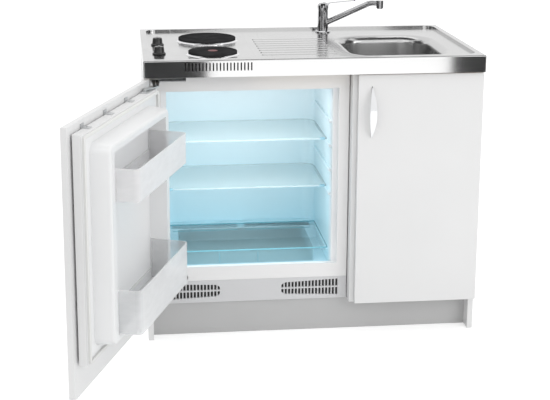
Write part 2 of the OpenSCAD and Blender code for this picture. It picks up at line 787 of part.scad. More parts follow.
// The foamed body between two heights, less the cold room, the hinges and the niche for the compressor
module foamed_body(z0, z1) difference() {
    span([fridge_x0, fridge_y + liner_t, z0], [fridge_x1, casing_y1, z1]);
    cold_room(liner_t);
    hinge_pockets();
    span([fridge_x0 - 1, niche_y, casing_z0 - 1], [fridge_x1 + 1, casing_y1 + 1, niche_z]);
    span([fridge_x0 - 1, fridge_y, casing_z0 - 1], [fridge_x1 + 1, fridge_y + grille_t + 0.3, frame_z0]);
}

// The upper part and the floor, with its step over the compressor, meet level with the step
module fridge_casing() color(white) seat() foamed_body(step_z - liner_t, casing_z1);
module fridge_floor() color(white) seat() foamed_body(casing_z0, step_z - liner_t);

// The white frame round the opening
module fridge_frame() color(white) seat() difference() {
    span([fridge_x0, fridge_y, frame_z0], [fridge_x1, fridge_y + liner_t, frame_z1]);
    cold_room(0);
    hinge_pockets();
}

runner_w = 7;
runner_h = 6;
spare_heights = [499, 649];

// The cold room's lining, from the frame backwards, with the runners for the shelves
module fridge_liner() color("aliceblue") seat() {
    difference() {
        intersection() {
            cold_room(liner_t);
            span([fridge_x0, fridge_y + liner_t, 0], [fridge_x1, casing_y1, unit_h]);
        }
        cold_room(0);
        hinge_pockets();
    }
    for (z = concat(shelf_heights, spare_heights), x = [room_x0 - 0.5, room_x1 + 0.5 - runner_w])
        translate([x, room_y0 + 20, z - runner_h]) cube([runner_w, room_y1 - room_y0 - room_r - 30, runner_h]);
    for (x = [room_x0 - 0.5, room_x1 + 0.5 - runner_w])
        translate([x, crisper_front, step_z - runner_h]) cube([runner_w, step_y - crisper_front + 1, runner_h]);
}

grille_t = 8;
grille_z0 = plinth_h + 1;
grille_w = 184;
grille_h = 51;
grille_slot = 7;
grille_pitch = 10.4;
grille_count = 17;

// One group of slots: a wedge with round ends, wider outside, split by a bar
module grille_slots() {
    intersection() {
        hull() {
            translate([20, 0]) circle(19, $fn = 32);
            for (s = [-1, 1]) translate([grille_w - 8, s * (grille_h / 2 - 8)]) circle(8, $fn = 32);
        }
        union() for (i = [0 : grille_count - 1], s = [-1, 1])
            translate([4 + i * grille_pitch, s > 0 ? 2 : -grille_h / 2]) square([grille_slot, grille_h / 2 - 2]);
    }
}

module fridge_grille() color(white) seat() difference() {
    span([fridge_x0, fridge_y, grille_z0], [fridge_x1, fridge_y + grille_t, frame_z0 - 0.3]);
    middle = (fridge_x0 + fridge_x1) / 2;
    for (s = [-1, 1])
        translate([middle, fridge_y + grille_t + 1, grille_z0 + 36]) rotate([90, 0, 0])
            linear_extrude(grille_t + 2) rotate([0, s > 0 ? 0 : 180, 0]) translate([90, 0]) grille_slots();
}

base_t = 2;
base_side = 4;
base_bar = 60;

module fridge_base() color(steel) seat() {
    x0 = fridge_x0 + base_side;
    x1 = fridge_x1 - base_side;
    for (x = [x0, x1 - base_t]) span([x, base_y0, base_lift], [x + base_t, base_y1, casing_z0]);
    span([x0, base_y0, base_lift], [x1, base_y0 + base_bar, base_lift + base_t]);
    span([x0, niche_y - 20, base_lift], [x1, base_y1, base_lift + base_t]);
}

pot_r = 62;
pot_side = 150;
pot_x = fridge_x1 - pot_side;
pot_y = niche_y + 6 + pot_r;
mount_l = 100;
mount_w = 24;

// A welded pot on four rubber mounts, with its terminal box in front
module compressor() color(black) seat() translate([pot_x, pot_y, base_lift + base_t]) {
    rotate_extrude($fn = 64) polygon([
        [0, 10], [36, 10], [56, 24], [pot_r, 44], [pot_r, 56], [pot_r + 2, 56], [pot_r + 2, 62], [pot_r, 62],
        [pot_r, 92], [55, 118], [40, 132], [20, 138], [0, 138]
    ]);
    for (x = [2 - pot_r, pot_r - 2]) {
        translate([x - mount_w / 2, -mount_l / 2, 6]) cube([mount_w, mount_l, 5]);
        for (y = [-1, 1]) translate([x, y * (mount_l / 2 - 12), 0]) cylinder(r = 10, h = 7, $fn = 24);
        translate([x > 0 ? 40 : -40 - mount_w, -30, 8]) cube([mount_w, 60, 12]);
    }
    translate([-30, -pot_r - 14, 50]) cube([60, 34, 44]);
}

coil_runs = 9;
coil_pitch = 52;
coil_r = 3;
coil_side = 70;
coil_z0 = casing_z0 + 152;
coil_x0 = fridge_x0 + coil_side;
coil_x1 = fridge_x1 - coil_side;
coil_y = casing_y1 + 15;
wire_count = 10;
wire_t = 2;
wire_side = 21;
wire_pitch = (coil_x1 - coil_x0 - 2 * wire_side - wire_t) / (wire_count - 1);

// The condenser: one tube in a serpentine on upright wires, on four feet against the casing
module condenser() color(black) seat() {
    for (i = [0 : coil_runs - 1])
        translate([coil_x0, coil_y, coil_z0 + i * coil_pitch]) rotate([0, 90, 0])
            cylinder(r = coil_r, h = coil_x1 - coil_x0, $fn = 16);
    for (i = [0 : coil_runs - 2]) {
        right = i % 2 == 0;
        translate([right ? coil_x1 : coil_x0, coil_y, coil_z0 + (i + 0.5) * coil_pitch])
            rotate([90, right ? 0 : 180, 0]) rotate(-90)
                rotate_extrude(angle = 180, $fn = 32) translate([coil_pitch / 2, 0]) circle(coil_r, $fn = 16);
    }
    for (i = [0 : wire_count - 1])
        translate([coil_x0 + wire_side + i * wire_pitch, coil_y - coil_r - 1, coil_z0 - 12])
            cube([wire_t, wire_t, (coil_runs - 1) * coil_pitch + 24]);
    for (i = [0, wire_count - 1], z = [coil_z0 + 12, coil_z0 + (coil_runs - 1) * coil_pitch - 12])
        translate([coil_x0 + wire_side + i * wire_pitch - 3, casing_y1, z - 4])
            cube([8, coil_y - coil_r + 1 - casing_y1, 8]);
}

shelf_front = fridge_y + 115;
shelf_side = 1;

// The glass shelves lie on the liner's runners; their front corners are ground round
module glass_shelves() color("lightcyan") seat() for (z = shelf_heights)
    plan_view(z, z + glass_t) intersection() {
        room_plan(-shelf_side);
        round_rect([room_x0, shelf_front], [room_x1, unit_d], 8);
    }

crisper_front = fridge_y + 78;
crisper_gap = 2;
crisper_side = 42;
crisper_wall = 2.5;
groove_x = 61;
room_mid = (room_x0 + room_x1) / 2;
pad_side = 24;
pad_l = 74;
pad_h = 2;

// The glass over the crisper, with two low pads on its rear part
module crisper_cover() color("lightcyan") seat() {
    y1 = room_y1 - room_r - 2;
    span([room_x0 + 0.5, crisper_front, step_z], [room_x1 - 0.5, y1, step_z + glass_t]);
    for (x = [room_x0 + pad_side, room_mid + pad_side / 2])
        plan_view(step_z + glass_t - 0.5, step_z + glass_t + pad_h)
            round_rect([x, y1 - pad_l], [x + room_mid - room_x0 - pad_side * 1.5, y1 - 6], 6);
}

// A low tray with a grip section between two grooves in its front
module crisper_drawer() color("lightcyan") seat() {
    x0 = room_x0 + crisper_side;
    x1 = room_x1 - crisper_side;
    y1 = step_y - crisper_gap;
    z0 = room_z0 + 0.3;
    z1 = step_z - 1.5;
    difference() {
        plan_view(z0, z1) round_rect([x0, crisper_front], [x1, y1], 10);
        plan_view(z0 + crisper_wall, z1 + 1)
            round_rect([x0 + crisper_wall, crisper_front + crisper_wall], [x1 - crisper_wall, y1 - crisper_wall], 8);
        for (x = [room_mid - groove_x, room_mid + groove_x])
            translate([x - 1, crisper_front - 1, z0 + 6]) cube([2, 2, z1 - z0]);
    }
}

stat_w = 140;
stat_l = 130;
stat_h = 34;
stat_back = 68;
stat_y0 = room_y1 - stat_back - stat_l;
dial_r = 13;
dial_x = room_mid + 30;
dial_z = room_z1 - stat_h / 2;
dial_pin_r = 3;
dial_pin_l = 12;

module thermostat_box() color(white) seat() difference() {
    span([room_mid - stat_w / 2, stat_y0, room_z1 - stat_h], [room_mid + stat_w / 2, stat_y0 + stat_l, room_z1]);
    translate([dial_x, stat_y0 - 1, dial_z]) rotate([-90, 0, 0])
        cylinder(r = dial_pin_r + 0.05, h = dial_pin_l + 3, $fn = 32);
}

module thermostat_dial() color(steel) seat() translate([dial_x, stat_y0, dial_z]) rotate([90, 0, 0]) {
    translate([0, 0, 0.3]) cylinder(r = dial_r, h = 4);
    translate([0, 0, 4]) cylinder(r = dial_r - 3, h = 8);
    translate([0, 0, -dial_pin_l]) cylinder(r = dial_pin_r, h = dial_pin_l + 2, $fn = 32);
}

// ---------------------------------------------------------------- fridge door hinges

// The door turns about a line at the furniture front's own edge, where no pin fits. Each hinge is
// therefore a lattice of four links: bars on the fridge stay parallel to the door, ties on the door
// stay parallel to the fridge, so all their pins keep the same distances from that line.
shell_z0 = frame_z0 + 19;
shell_z1 = frame_z1 - 23;
turn_line = [reveal, door_front];
to_fridge = [28, 40];
to_door = [60, 22];
fridge_pins = [to_fridge, to_fridge * 1.35];
door_pins = [to_door, to_door * 1.27];
link_r = 4;
link_t = 3;
pin_a_r = 2.5;
pin_fit = 0.07;
box_floor = 1.3;
tie_z = 4;
bar_z = tie_z + link_t + 0.3;
roof_z = 12;

module at_hinges() {
    translate([0, 0, shell_z1]) children();
    translate([0, 0, shell_z0]) mirror([0, 0, 1]) children();
}

function turned(v, a) = [v.x * cos(a) - v.y * sin(a), v.x * sin(a) + v.y * cos(a)];

module link_outline(a, b) {
    hull() { translate(a) circle(link_r, $fn = 24); translate(b) circle(link_r, $fn = 24); }
}

// A bar on the fridge: bored at its fridge pin, with two studs that the ties ride on
module hinge_bar(i) at_hinges() translate(turn_line + fridge_pins[i]) rotate(-door_open) {
    ends = door_pins;
    difference() {
        translate([0, 0, bar_z]) linear_extrude(link_t) link_outline([0, 0], ends[1]);
        translate([0, 0, bar_z - 1]) cylinder(r = pin_a_r + pin_fit, h = link_t + 2, $fn = 32);
    }
    for (p = ends) translate([p.x, p.y, tie_z - 0.3]) cylinder(r = pin_a_r, h = bar_z - tie_z + 1.3, $fn = 32);
}

// A tie on the door: bored at its door pin and at both studs
module hinge_tie(i) at_hinges() translate(turn_line + turned(door_pins[i], -door_open)) difference() {
    translate([0, 0, tie_z]) linear_extrude(link_t) link_outline([0, 0], fridge_pins[1]);
    for (p = [[0, 0], fridge_pins[0], fridge_pins[1]])
        translate([p.x, p.y, tie_z - 1]) cylinder(r = pin_a_r + pin_fit, h = link_t + 2, $fn = 32);
}

module hinge_bars_inner() color(black) seat() hinge_bar(0);
module hinge_bars_outer() color(black) seat() hinge_bar(1);
module hinge_ties_inner() color(steel) seat() hinge_tie(0);
module hinge_ties_outer() color(steel) seat() hinge_tie(1);

// The folded box in the frame that holds the two fridge pins
module hinge_box() {
    x0 = fridge_x0 + 4.5;
    x1 = pocket_x1 - 1;
    y1 = pocket_y1 - 1;
    tongue_x1 = turn_line.x + fridge_pins[1].x + 8;
    tongue_y0 = turn_line.y + fridge_pins[0].y - 8;
    for (z = [box_floor, roof_z]) plan_view(z, z + 2) {
        translate([x0, fridge_y]) square([x1 - x0, y1 - fridge_y]);
        translate([x0, tongue_y0]) square([tongue_x1 - x0, fridge_y - tongue_y0 + 1]);
    }
    span([x0, y1 - 1.5, box_floor], [x1, y1, roof_z + 2]);
    span([tongue_x1, fridge_y - 2, roof_z], [x1, fridge_y, roof_z + 7]);
    for (p = fridge_pins)
        translate([turn_line.x + p.x, turn_line.y + p.y, box_floor]) cylinder(r = pin_a_r, h = roof_z, $fn = 32);
}

lug_t = 1.5;
lug_l = 24;
lug_w = 30;
lug_side = 140;
lug_y = fridge_y + 40;

// A Z-shaped lug that ties the casing's top to the board above it
module top_lug() {
    rise = boards_top - casing_z1;
    rotate([90, 0, 90]) translate([0, 0, -lug_w / 2]) linear_extrude(lug_w) {
        square([lug_l, lug_t]);
        square([lug_t, rise]);
        translate([lug_t - lug_l, rise - lug_t]) square([lug_l, lug_t]);
    }
}

module fridge_brackets() color(steel) seat() {
    at_hinges() hinge_box();
    for (x = [fridge_x0 + lug_side, fridge_x1 - lug_side]) translate([x, lug_y, casing_z1]) top_lug();
}

// ---------------------------------------------------------------- fridge door

module open_door() {
    translate(turn_line) rotate(-door_open) translate(-turn_line) children();
}

door_x0 = fridge_x0 + 3.75;
door_x1 = fridge_x1 - 4.25;
flange_t = 2;

module fridge_front() color(white) seat() open_door()
    span([reveal, door_front, door_z0], [door_split - door_joint / 2, door_back, door_z1]);

module door_shell() color(white) seat() open_door()
    plan_view(shell_z0, shell_z1) round_rect([door_x0, shell_y0], [door_x1, shell_y1 - flange_t], 4);

dyke_side = 27;
dyke_end = 12;
dyke_x0 = open_x0 + dyke_side;
dyke_x1 = open_x1 - dyke_side;
dyke_z0 = open_z0 + dyke_end;
dyke_z1 = open_z1 - dyke_end;
balcony_upper_z = dyke_z1 - balcony_upper_drop;
dyke_bar = 20;
dyke_r = 22;
dyke_draft = 6;
dyke_round = 7;

module dyke_outline(d) {
    round_rect([dyke_x0 - d, dyke_z0 - d], [dyke_x1 + d, dyke_z1 + d], dyke_r + d);
}

// The lining's flange and the raised rim, with drafted sides and a rounded edge
module door_liner() color(white) seat() open_door() {
    front_view(shell_y1 - flange_t, shell_y1)
        round_rect([door_x0 + 1, shell_z0 + 1], [door_x1 - 1, shell_z1 - 1], 8);
    difference() {
        hull() {
            front_view(shell_y1 - 0.01, shell_y1 + 1) dyke_outline(dyke_draft);
            front_view(shell_y1 + 1, shell_y1 + dyke_h - dyke_round) dyke_outline(0);
            front_view(shell_y1 + 1, shell_y1 + dyke_h - dyke_round * 0.3) dyke_outline(-dyke_round * 0.3);
            front_view(shell_y1 + 1, shell_y1 + dyke_h) dyke_outline(-dyke_round);
        }
        front_view(shell_y1, shell_y1 + dyke_h + 1)
            round_rect([dyke_x0 + dyke_w, dyke_z0 + dyke_bar], [dyke_x1 - dyke_w, dyke_z1 - dyke_bar], 3);
    }
}

module door_seal() color("lightgray") seat() open_door() {
    outer = [[door_x0 + 2, shell_z0 + 3], [door_x1 - 2, shell_z1 - 3]];
    inset = [seal_w, seal_w];
    front_view(shell_y1, shell_y1 + seal_t) difference() {
        round_rect(outer[0], outer[1], 8);
        round_rect(outer[0] + inset, outer[1] - inset, 3);
    }
}

balcony_upper_h = 85;
balcony_lower_h = 118;

// A door balcony: floor, front and ends, held between the raised rim's side parts
module balcony(z, h) {
    gap = 0.3;
    x0 = dyke_x0 + dyke_w + gap;
    x1 = dyke_x1 - dyke_w - gap;
    y0 = shell_y1 + gap;
    y1 = shell_y1 + balcony_d;
    wall = 2.5;
    difference() {
        plan_view(z, z + h) {
            translate([x0, y0]) square([x1 - x0, balcony_d / 2]);
            round_rect([x0, y0], [x1, y1], 16);
        }
        plan_view(z + wall, z + h + 1) {
            translate([x0 + wall, y0 + wall]) square([x1 - x0 - 2 * wall, balcony_d / 2]);
            round_rect([x0 + wall, y0 + wall], [x1 - wall, y1 - wall], 13.5);
        }
        span([x0 - 1, y0 - 1, z + 30], [x1 + 1, y0 + wall + 0.1, z + h + 1]);
    }
}

module balcony_upper() color("whitesmoke") seat() open_door() balcony(balcony_upper_z, balcony_upper_h);
module balcony_lower() color("whitesmoke") seat() open_door() balcony(balcony_lower_z, balcony_lower_h);

lug_first = 180;
lug_last = 80;
lug_half = 11;
lug_rise = 11;

// A plate with the door pins at each hinge, and angles that hold the furniture front
module door_brackets() color(steel) seat() open_door() at_hinges() {
    pin_b = [turn_line + door_pins[0], turn_line + door_pins[1]];
    plan_view(0, 2) round_rect([pin_b[0].x - 9, shell_y0 + 0.5], [pin_b[1].x + 22, shell_y1 - flange_t - 1], 3);
    for (p = pin_b) {
        translate([p.x, p.y, 0.01]) cylinder(r = pin_a_r + 2.5, h = tie_z - 0.31, $fn = 32);
        translate([p.x, p.y, 1]) cylinder(r = pin_a_r, h = bar_z - 1.15, $fn = 32);
    }
    first = door_x0 + lug_first;
    last = door_x1 - lug_last;
    for (x = [first, (first + last) / 2, last]) {
        span([x - lug_half, door_back, 0], [x + lug_half, shell_y1 - 8, 2]);
        span([x - lug_half, door_back, 0], [x + lug_half, door_back + 2, lug_rise]);
    }
}

// ---------------------------------------------------------------- cabinet door

cab_line = [unit_w - reveal, door_front];
cup_r = 17.5;
cup_depth = 11.5;
cup_edge = 22.5;
to_arm = [-38.5, 40];
to_cup = [-23.5, 10];
cup_heights = [door_z0 + 99, door_z1 - 106];
cup_link_t = 2.8;
cup_pin_r = 1.5;

module cabinet_door() color(white) seat() difference() {
    span([door_split + door_joint / 2, door_front, door_z0], [cab_line.x, door_back, door_z1]);
    for (z = cup_heights) translate([cab_line.x - cup_edge, door_back + 1, z]) rotate([90, 0, 0])
        cylinder(r = cup_r, h = cup_depth + 1.3);
}

handle_x = door_split + door_joint / 2 + 40;
handle_z = door_z1 - 112;
handle_t = 4;
handle_span = 128;
bow_r = (pow(handle_l / 2, 2) + pow(handle_out, 2)) / (2 * handle_out);
leaf_r = (pow(handle_l / 2, 2) + pow(handle_w / 2, 2)) / handle_w;

// The bow: a leaf outline cut from a bent strip, on two posts
module bow_handle() color(chrome) seat() translate([handle_x, door_front, handle_z]) {
    intersection() {
        translate([0, bow_r - handle_out, 0]) rotate([0, 90, 0]) difference() {
            cylinder(r = bow_r, h = handle_w + 2, center = true, $fn = 128);
            cylinder(r = bow_r - handle_t, h = handle_w + 4, center = true, $fn = 128);
        }
        front_view(-handle_out - 1, 0) intersection() {
            translate([leaf_r - handle_w / 2, 0]) circle(leaf_r, $fn = 256);
            translate([handle_w / 2 - leaf_r, 0]) circle(leaf_r, $fn = 256);
        }
    }
    for (z = [-handle_span / 2, handle_span / 2]) {
        out = sqrt(pow(bow_r, 2) - pow(handle_span / 2, 2)) - (bow_r - handle_out);
        translate([0, 0, z]) rotate([90, 0, 0]) cylinder(r = 3, h = out - handle_t / 2, $fn = 24);
    }
}

module at_cups() { for (z = cup_heights) translate([0, 0, z]) children(); }

// The cup in the door, its flange in the gap before the boards, and the pin across it
module hinge_cups() color(steel) seat() at_cups() {
    axis = [cab_line.x - cup_edge, door_back, 0];
    difference() {
        union() {
            translate(axis) rotate([90, 0, 0]) cylinder(r = cup_r - 0.05, h = cup_depth);
            translate(axis) front_view(0, 1.2) round_rect([-13, -24], [14, 24], 3);
            translate(axis) front_view(0, 1.2) circle(cup_r + 2);
        }
        translate(axis + [0, 1.3, 0]) rotate([90, 0, 0]) cylinder(r = cup_r - 1.2, h = cup_depth + 0.3);
    }
    translate([cab_line.x + to_cup.x, cab_line.y + to_cup.y, -cup_r + 1])
        cylinder(r = cup_pin_r, h = 2 * cup_r - 2, $fn = 24);
}

// The arm on the side board, with two cheeks round the short link's pin
module hinge_arms() color(steel) seat() at_cups() {
    pin = [cab_line.x + to_arm.x, cab_line.y + to_arm.y];
    span([cab_x1 - 3, pin.y + 20, -20], [cab_x1, pin.y + 60, 20]);
    span([pin.x + 4, pin.y + 8, -7], [cab_x1 - 2.9, pin.y + 62, 7]);
    for (z = [-7, 4.4]) plan_view(z, z + 2.6) {
        translate(pin) circle(4.5);
        polygon([pin + [0, -4.5], pin + [12, -3], [cab_x1 - 3, pin.y + 10], pin + [4, 12], pin + [-4.4, 0]]);
    }
    translate([pin.x, pin.y, -7]) cylinder(r = cup_pin_r, h = 14, $fn = 24);
}

module cup_link(a, b, z) {
    difference() {
        plan_view(z, z + cup_link_t) hull() {
            translate(a) circle(3.2, $fn = 24);
            translate(b) circle(3.2, $fn = 24);
        }
        for (p = [a, b]) translate([p.x, p.y, z - 1]) cylinder(r = cup_pin_r + 0.06, h = cup_link_t + 2, $fn = 24);
    }
}

// The short link on the arm carries the stud that the long link ends on
module hinge_link_short() color(steel) seat() at_cups() {
    pin = cab_line + to_arm;
    difference() {
        plan_view(-cup_link_t, 0) hull() {
            translate(pin) circle(3.2, $fn = 24);
            translate(pin + to_cup) circle(3.2, $fn = 24);
        }
        translate([pin.x, pin.y, -cup_link_t - 1]) cylinder(r = cup_pin_r + 0.06, h = cup_link_t + 2, $fn = 24);
    }
    translate([pin.x + to_cup.x, pin.y + to_cup.y, -1]) cylinder(r = cup_pin_r, h = 1 + 0.3 + cup_link_t, $fn = 24);
}

module hinge_link_long() color(steel) seat() at_cups()
    cup_link(cab_line + to_cup, cab_line + to_cup + to_arm, 0.3);

worktop();
sink_bowl();
underlay();
sides();
side_middle();
cabinet_floor();
cabinet_back();
cabinet_shelf();
shelf_pins();
plinth();
feet();
hob_tray();
hotplate_rear();
hotplate_front();
spill_rings();
plate_undersides();
hob_switches();
knob_rear();
knob_front();
waste_strainer();
waste_trap();
overflow_pipe();
tap_foot();
tap_core();
tap_spout();
tap_aerator();
tap_cap();
tap_lever();
tap_nut();
fridge_casing();
fridge_floor();
fridge_frame();
fridge_liner();
fridge_grille();
fridge_base();
compressor();
condenser();
glass_shelves();
crisper_cover();
crisper_drawer();
thermostat_box();
thermostat_dial();
fridge_brackets();
hinge_bars_inner();
hinge_bars_outer();
hinge_ties_inner();
hinge_ties_outer();
fridge_front();
door_shell();
door_liner();
door_seal();
balcony_upper();
balcony_lower();
door_brackets();
cabinet_door();
bow_handle();
hinge_cups();
hinge_arms();
hinge_link_short();
hinge_link_long();
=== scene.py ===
"""Looks of a 100 cm kitchenette: steel top with hob, drainer, bowl and tap over a fridge and a cabinet."""

import json
import logging
import math
from dataclasses import dataclass
from enum import Enum
from typing import Sequence

import bmesh
import bpy
from mathutils import Matrix, Vector

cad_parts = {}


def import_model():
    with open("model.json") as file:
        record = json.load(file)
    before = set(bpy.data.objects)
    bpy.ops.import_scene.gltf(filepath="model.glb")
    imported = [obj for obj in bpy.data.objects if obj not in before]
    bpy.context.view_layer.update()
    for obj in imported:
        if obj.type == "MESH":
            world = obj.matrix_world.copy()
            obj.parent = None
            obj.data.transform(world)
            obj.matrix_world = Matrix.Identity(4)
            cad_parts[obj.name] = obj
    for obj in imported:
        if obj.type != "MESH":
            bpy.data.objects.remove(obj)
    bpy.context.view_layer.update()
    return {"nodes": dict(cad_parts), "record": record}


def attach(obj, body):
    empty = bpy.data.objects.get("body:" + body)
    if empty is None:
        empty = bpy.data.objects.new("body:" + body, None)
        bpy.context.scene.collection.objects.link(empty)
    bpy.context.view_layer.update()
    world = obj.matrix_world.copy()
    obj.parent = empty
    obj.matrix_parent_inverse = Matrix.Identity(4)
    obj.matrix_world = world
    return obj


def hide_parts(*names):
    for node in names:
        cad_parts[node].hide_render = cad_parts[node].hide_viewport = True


log = logging.getLogger("kitchenette")

Point = tuple[float, float, float]
Color = tuple[float, float, float]
Pair = tuple[float, float]
Verts = list[bmesh.types.BMVert]
Mesh = bpy.types.Mesh
Socket = bpy.types.NodeSocket
Shape = bmesh.types.BMesh

WORKTOP_WIDTH = 1000.0
PLINTH_SETBACK = 80.0
HINGE_LINE = (1.5, 12.0)
DOOR_OPEN = math.radians(110.0)


def unit(x: float, y: float, z: float) -> Vector:
    """Turn millimetres from the worktop's left front corner into the model's metres.

    Args:
        x: Distance from the worktop's left edge.
        y: Distance from its front edge.
        z: Height above the floor.

    Returns:
        The point in the shared frame.
    """
    return Vector(((x - WORKTOP_WIDTH / 2) / 1000, (y - PLINTH_SETBACK) / 1000, z / 1000))


def fridge_door_pose() -> Matrix:
    """Return the matrix that takes the closed fridge door to its open place at rest."""
    line = Matrix.Translation(unit(HINGE_LINE[0], HINGE_LINE[1], 0.0))
    return line @ Matrix.Rotation(-DOOR_OPEN, 4, "Z") @ line.inverted()


# ---------------------------------------------------------------- finishes


class NodeTools:
    """Short ways to add and feed the nodes of one tree."""

    def __init__(self, tree: bpy.types.NodeTree) -> None:
        """Take hold of a tree.

        Args:
            tree: The tree to work on.
        """
        self.tree = tree

    def feed(self, socket: Socket, value: object) -> None:
        """Link a socket, or set its value.

        Args:
            socket: The input to feed.
            value: A socket to link from, or a plain value.
        """
        if isinstance(value, Socket):
            self.tree.links.new(value, socket)
        else:
            socket.default_value = value

    def node(self, kind: str, settings: dict[str, object] | None = None, **inputs: object) -> bpy.types.Node:
        """Add a node and set or link its inputs.

        Args:
            kind: The node's type name.
            settings: Properties to set before its inputs.
            **inputs: Values or sockets by input name, with underscores for spaces.

        Returns:
            The new node.
        """
        made = self.tree.nodes.new(kind)
        for key, value in (settings or {}).items():
            setattr(made, key, value)
        for name, value in inputs.items():
            self.feed(made.inputs[name.replace("_", " ")], value)
        return made

    def math(self, operation: str, first: object, second: object = 0.0) -> Socket:
        """Add a Math node.

        Args:
            operation: Its operation.
            first: First value or socket.
            second: Second value or socket.

        Returns:
            The result.
        """
        made = self.node("ShaderNodeMath", {"operation": operation})
        self.feed(made.inputs[0], first)
        self.feed(made.inputs[1], second)
        return made.outputs[0]


class Shader(NodeTools):
    """A node-based material round one Principled shader, read in object coordinates."""

    def __init__(self, name: str) -> None:
        """Start an empty material.

        Args:
            name: The finish's name.
        """
        self.material = bpy.data.materials.new(name)
        self.material.use_nodes = True
        super().__init__(self.material.node_tree)
        self.tree.nodes.clear()
        output = self.node("ShaderNodeOutputMaterial")
        self.surface = self.node("ShaderNodeBsdfPrincipled")
        self.feed(output.inputs["Surface"], self.surface.outputs[0])
        self.coords = self.node("ShaderNodeTexCoord")

    def place(self, stretch: Point = (1, 1, 1), centre: Point = (0, 0, 0)) -> Socket:
        """Centre and stretch the pattern's coordinates.

        Args:
            stretch: Scale along X, Y and Z.
            centre: The point that becomes the pattern's origin, in metres.

        Returns:
            The mapped vector.
        """
        start = [-s * c for s, c in zip(stretch, centre)]
        seen = self.coords.outputs["Object"]
        return self.node("ShaderNodeMapping", Vector=seen, Location=start, Scale=stretch).outputs[0]

    def noise(self, scale: float, detail: float = 2.0, vector: Socket | None = None) -> Socket:
        """Add a noise field.

        Args:
            scale: Cells per metre.
            detail: Octaves.
            vector: Where it is read, or None for plain object coordinates.

        Returns:
            The noise value, 0 to 1.
        """
        spot = self.place() if vector is None else vector
        return self.node("ShaderNodeTexNoise", Vector=spot, Scale=scale, Detail=detail).outputs[0]

    def spread(self, value: Socket, low: float = 0.0, high: float = 1.0, span: Pair = (0.3, 0.7)) -> Socket:
        """Map a value from one span to another.

        Args:
            value: What is mapped.
            low: Result at the span's start.
            high: Result at its end.
            span: The values that give low and high.

        Returns:
            The mapped value.
        """
        start, end = span
        made = self.node(
            "ShaderNodeMapRange", Value=value, From_Min=start, From_Max=end, To_Min=low, To_Max=high
        )
        return made.outputs[0]

    def blend(self, share: Socket, first: object, second: object) -> Socket:
        """Mix two colours.

        Args:
            share: How much of the second colour shows.
            first: Colour or socket.
            second: Colour or socket.

        Returns:
            The mixed colour.
        """
        mix = self.node("ShaderNodeMix", {"data_type": "RGBA"})
        self.feed(mix.inputs[0], share)
        for socket, value in ((mix.inputs[6], first), (mix.inputs[7], second)):
            self.feed(socket, (*value, 1.0) if isinstance(value, tuple) else value)
        return mix.outputs[2]

    def relief(self, height: Socket, distance: float, strength: float = 1.0) -> None:
        """Give the surface a bump.

        Args:
            height: The height field.
            distance: Its depth in metres.
            strength: Its share.
        """
        bump = self.node("ShaderNodeBump", Height=height, Distance=distance, Strength=strength)
        self.feed(self.surface.inputs["Normal"], bump.outputs[0])

    def set(self, **inputs: object) -> None:
        """Set or link inputs of the Principled shader by name.

        Args:
            **inputs: Values or sockets, with underscores for spaces.
        """
        for name, value in inputs.items():
            if isinstance(value, tuple) and len(value) == 3:
                value = (*value, 1.0)
            self.feed(self.surface.inputs[name.replace("_", " ")], value)


@dataclass(frozen=True)
class Finish:
    """A finish that is made once and shared by its pieces."""

    name: str

    def make(self) -> bpy.types.Material:
        """Return the finish's material, made on first use."""
        found = bpy.data.materials.get(self.name)
        if found:
            return found
        shader = Shader(self.name)
        self.dress(shader)
        return shader.material

    def dress(self, shader: Shader) -> None:
        """Add the finish's nodes.

        Args:
            shader: The material to fill.
        """
        raise NotImplementedError


@dataclass(frozen=True)
class RolledSteel(Finish):
    """Stainless sheet with fine rolling lines and faint hand marks, and a painted highlight on faces that
    face the front.
    """

    color: Color = (0.60, 0.60, 0.60)
    worn: float = 0.93
    rough: Pair = (0.15, 0.23)
    lines: Point = (3.0, 900.0, 900.0)
    line_depth: float = 0.000008
    patch_scale: float = 9.0
    # upright: the colour of faces that face the front, a painted highlight rather than the steel's own tone.
    upright: Color = (0.60, 0.60, 0.60)
    polish: float = 1.0
    creases: Sequence[float] = ()
    crease_width: float = 0.003
    crease_depth: float = 0.0006

    def dress(self, shader: Shader) -> None:
        """Lay rolling lines over slow patches, paint a highlight on faces that face the front, and press
        creases from front to back.

        Args:
            shader: The material to fill.
        """
        lines = shader.noise(1.0, 4.0, shader.place(self.lines))
        patches = shader.spread(shader.noise(self.patch_scale))
        facing = shader.node("ShaderNodeSeparateXYZ", Vector=shader.coords.outputs["Normal"]).outputs
        flat = shader.blend(patches, self.color, tuple(self.worn * c for c in self.color))
        # Painted highlight: faces that face the front take the lighter upright colour, and are also given
        # less roughness.
        front_highlight_share = shader.spread(facing["Y"], 1.0, 0.0, (-0.98, -0.6))
        shader.set(Metallic=1.0, Base_Color=shader.blend(front_highlight_share, flat, self.upright))
        gloss = shader.spread(front_highlight_share, 1.0, self.polish, (0.0, 1.0))
        shader.set(Roughness=shader.math("MULTIPLY", shader.spread(lines, *self.rough), gloss))
        height = shader.spread(lines, 0.0, self.line_depth, (0.0, 1.0))
        lying = shader.spread(facing["Z"], span=(0.5, 0.9))
        across = shader.node("ShaderNodeSeparateXYZ", Vector=shader.coords.outputs["Object"]).outputs["X"]
        for crease in self.creases:
            away = shader.math("ABSOLUTE", shader.math("SUBTRACT", across, crease))
            ridge = shader.spread(away, self.crease_depth, 0.0, (0.0, self.crease_width))
            height = shader.math("ADD", height, shader.math("MULTIPLY", ridge, lying))
        shader.relief(height, 1.0)


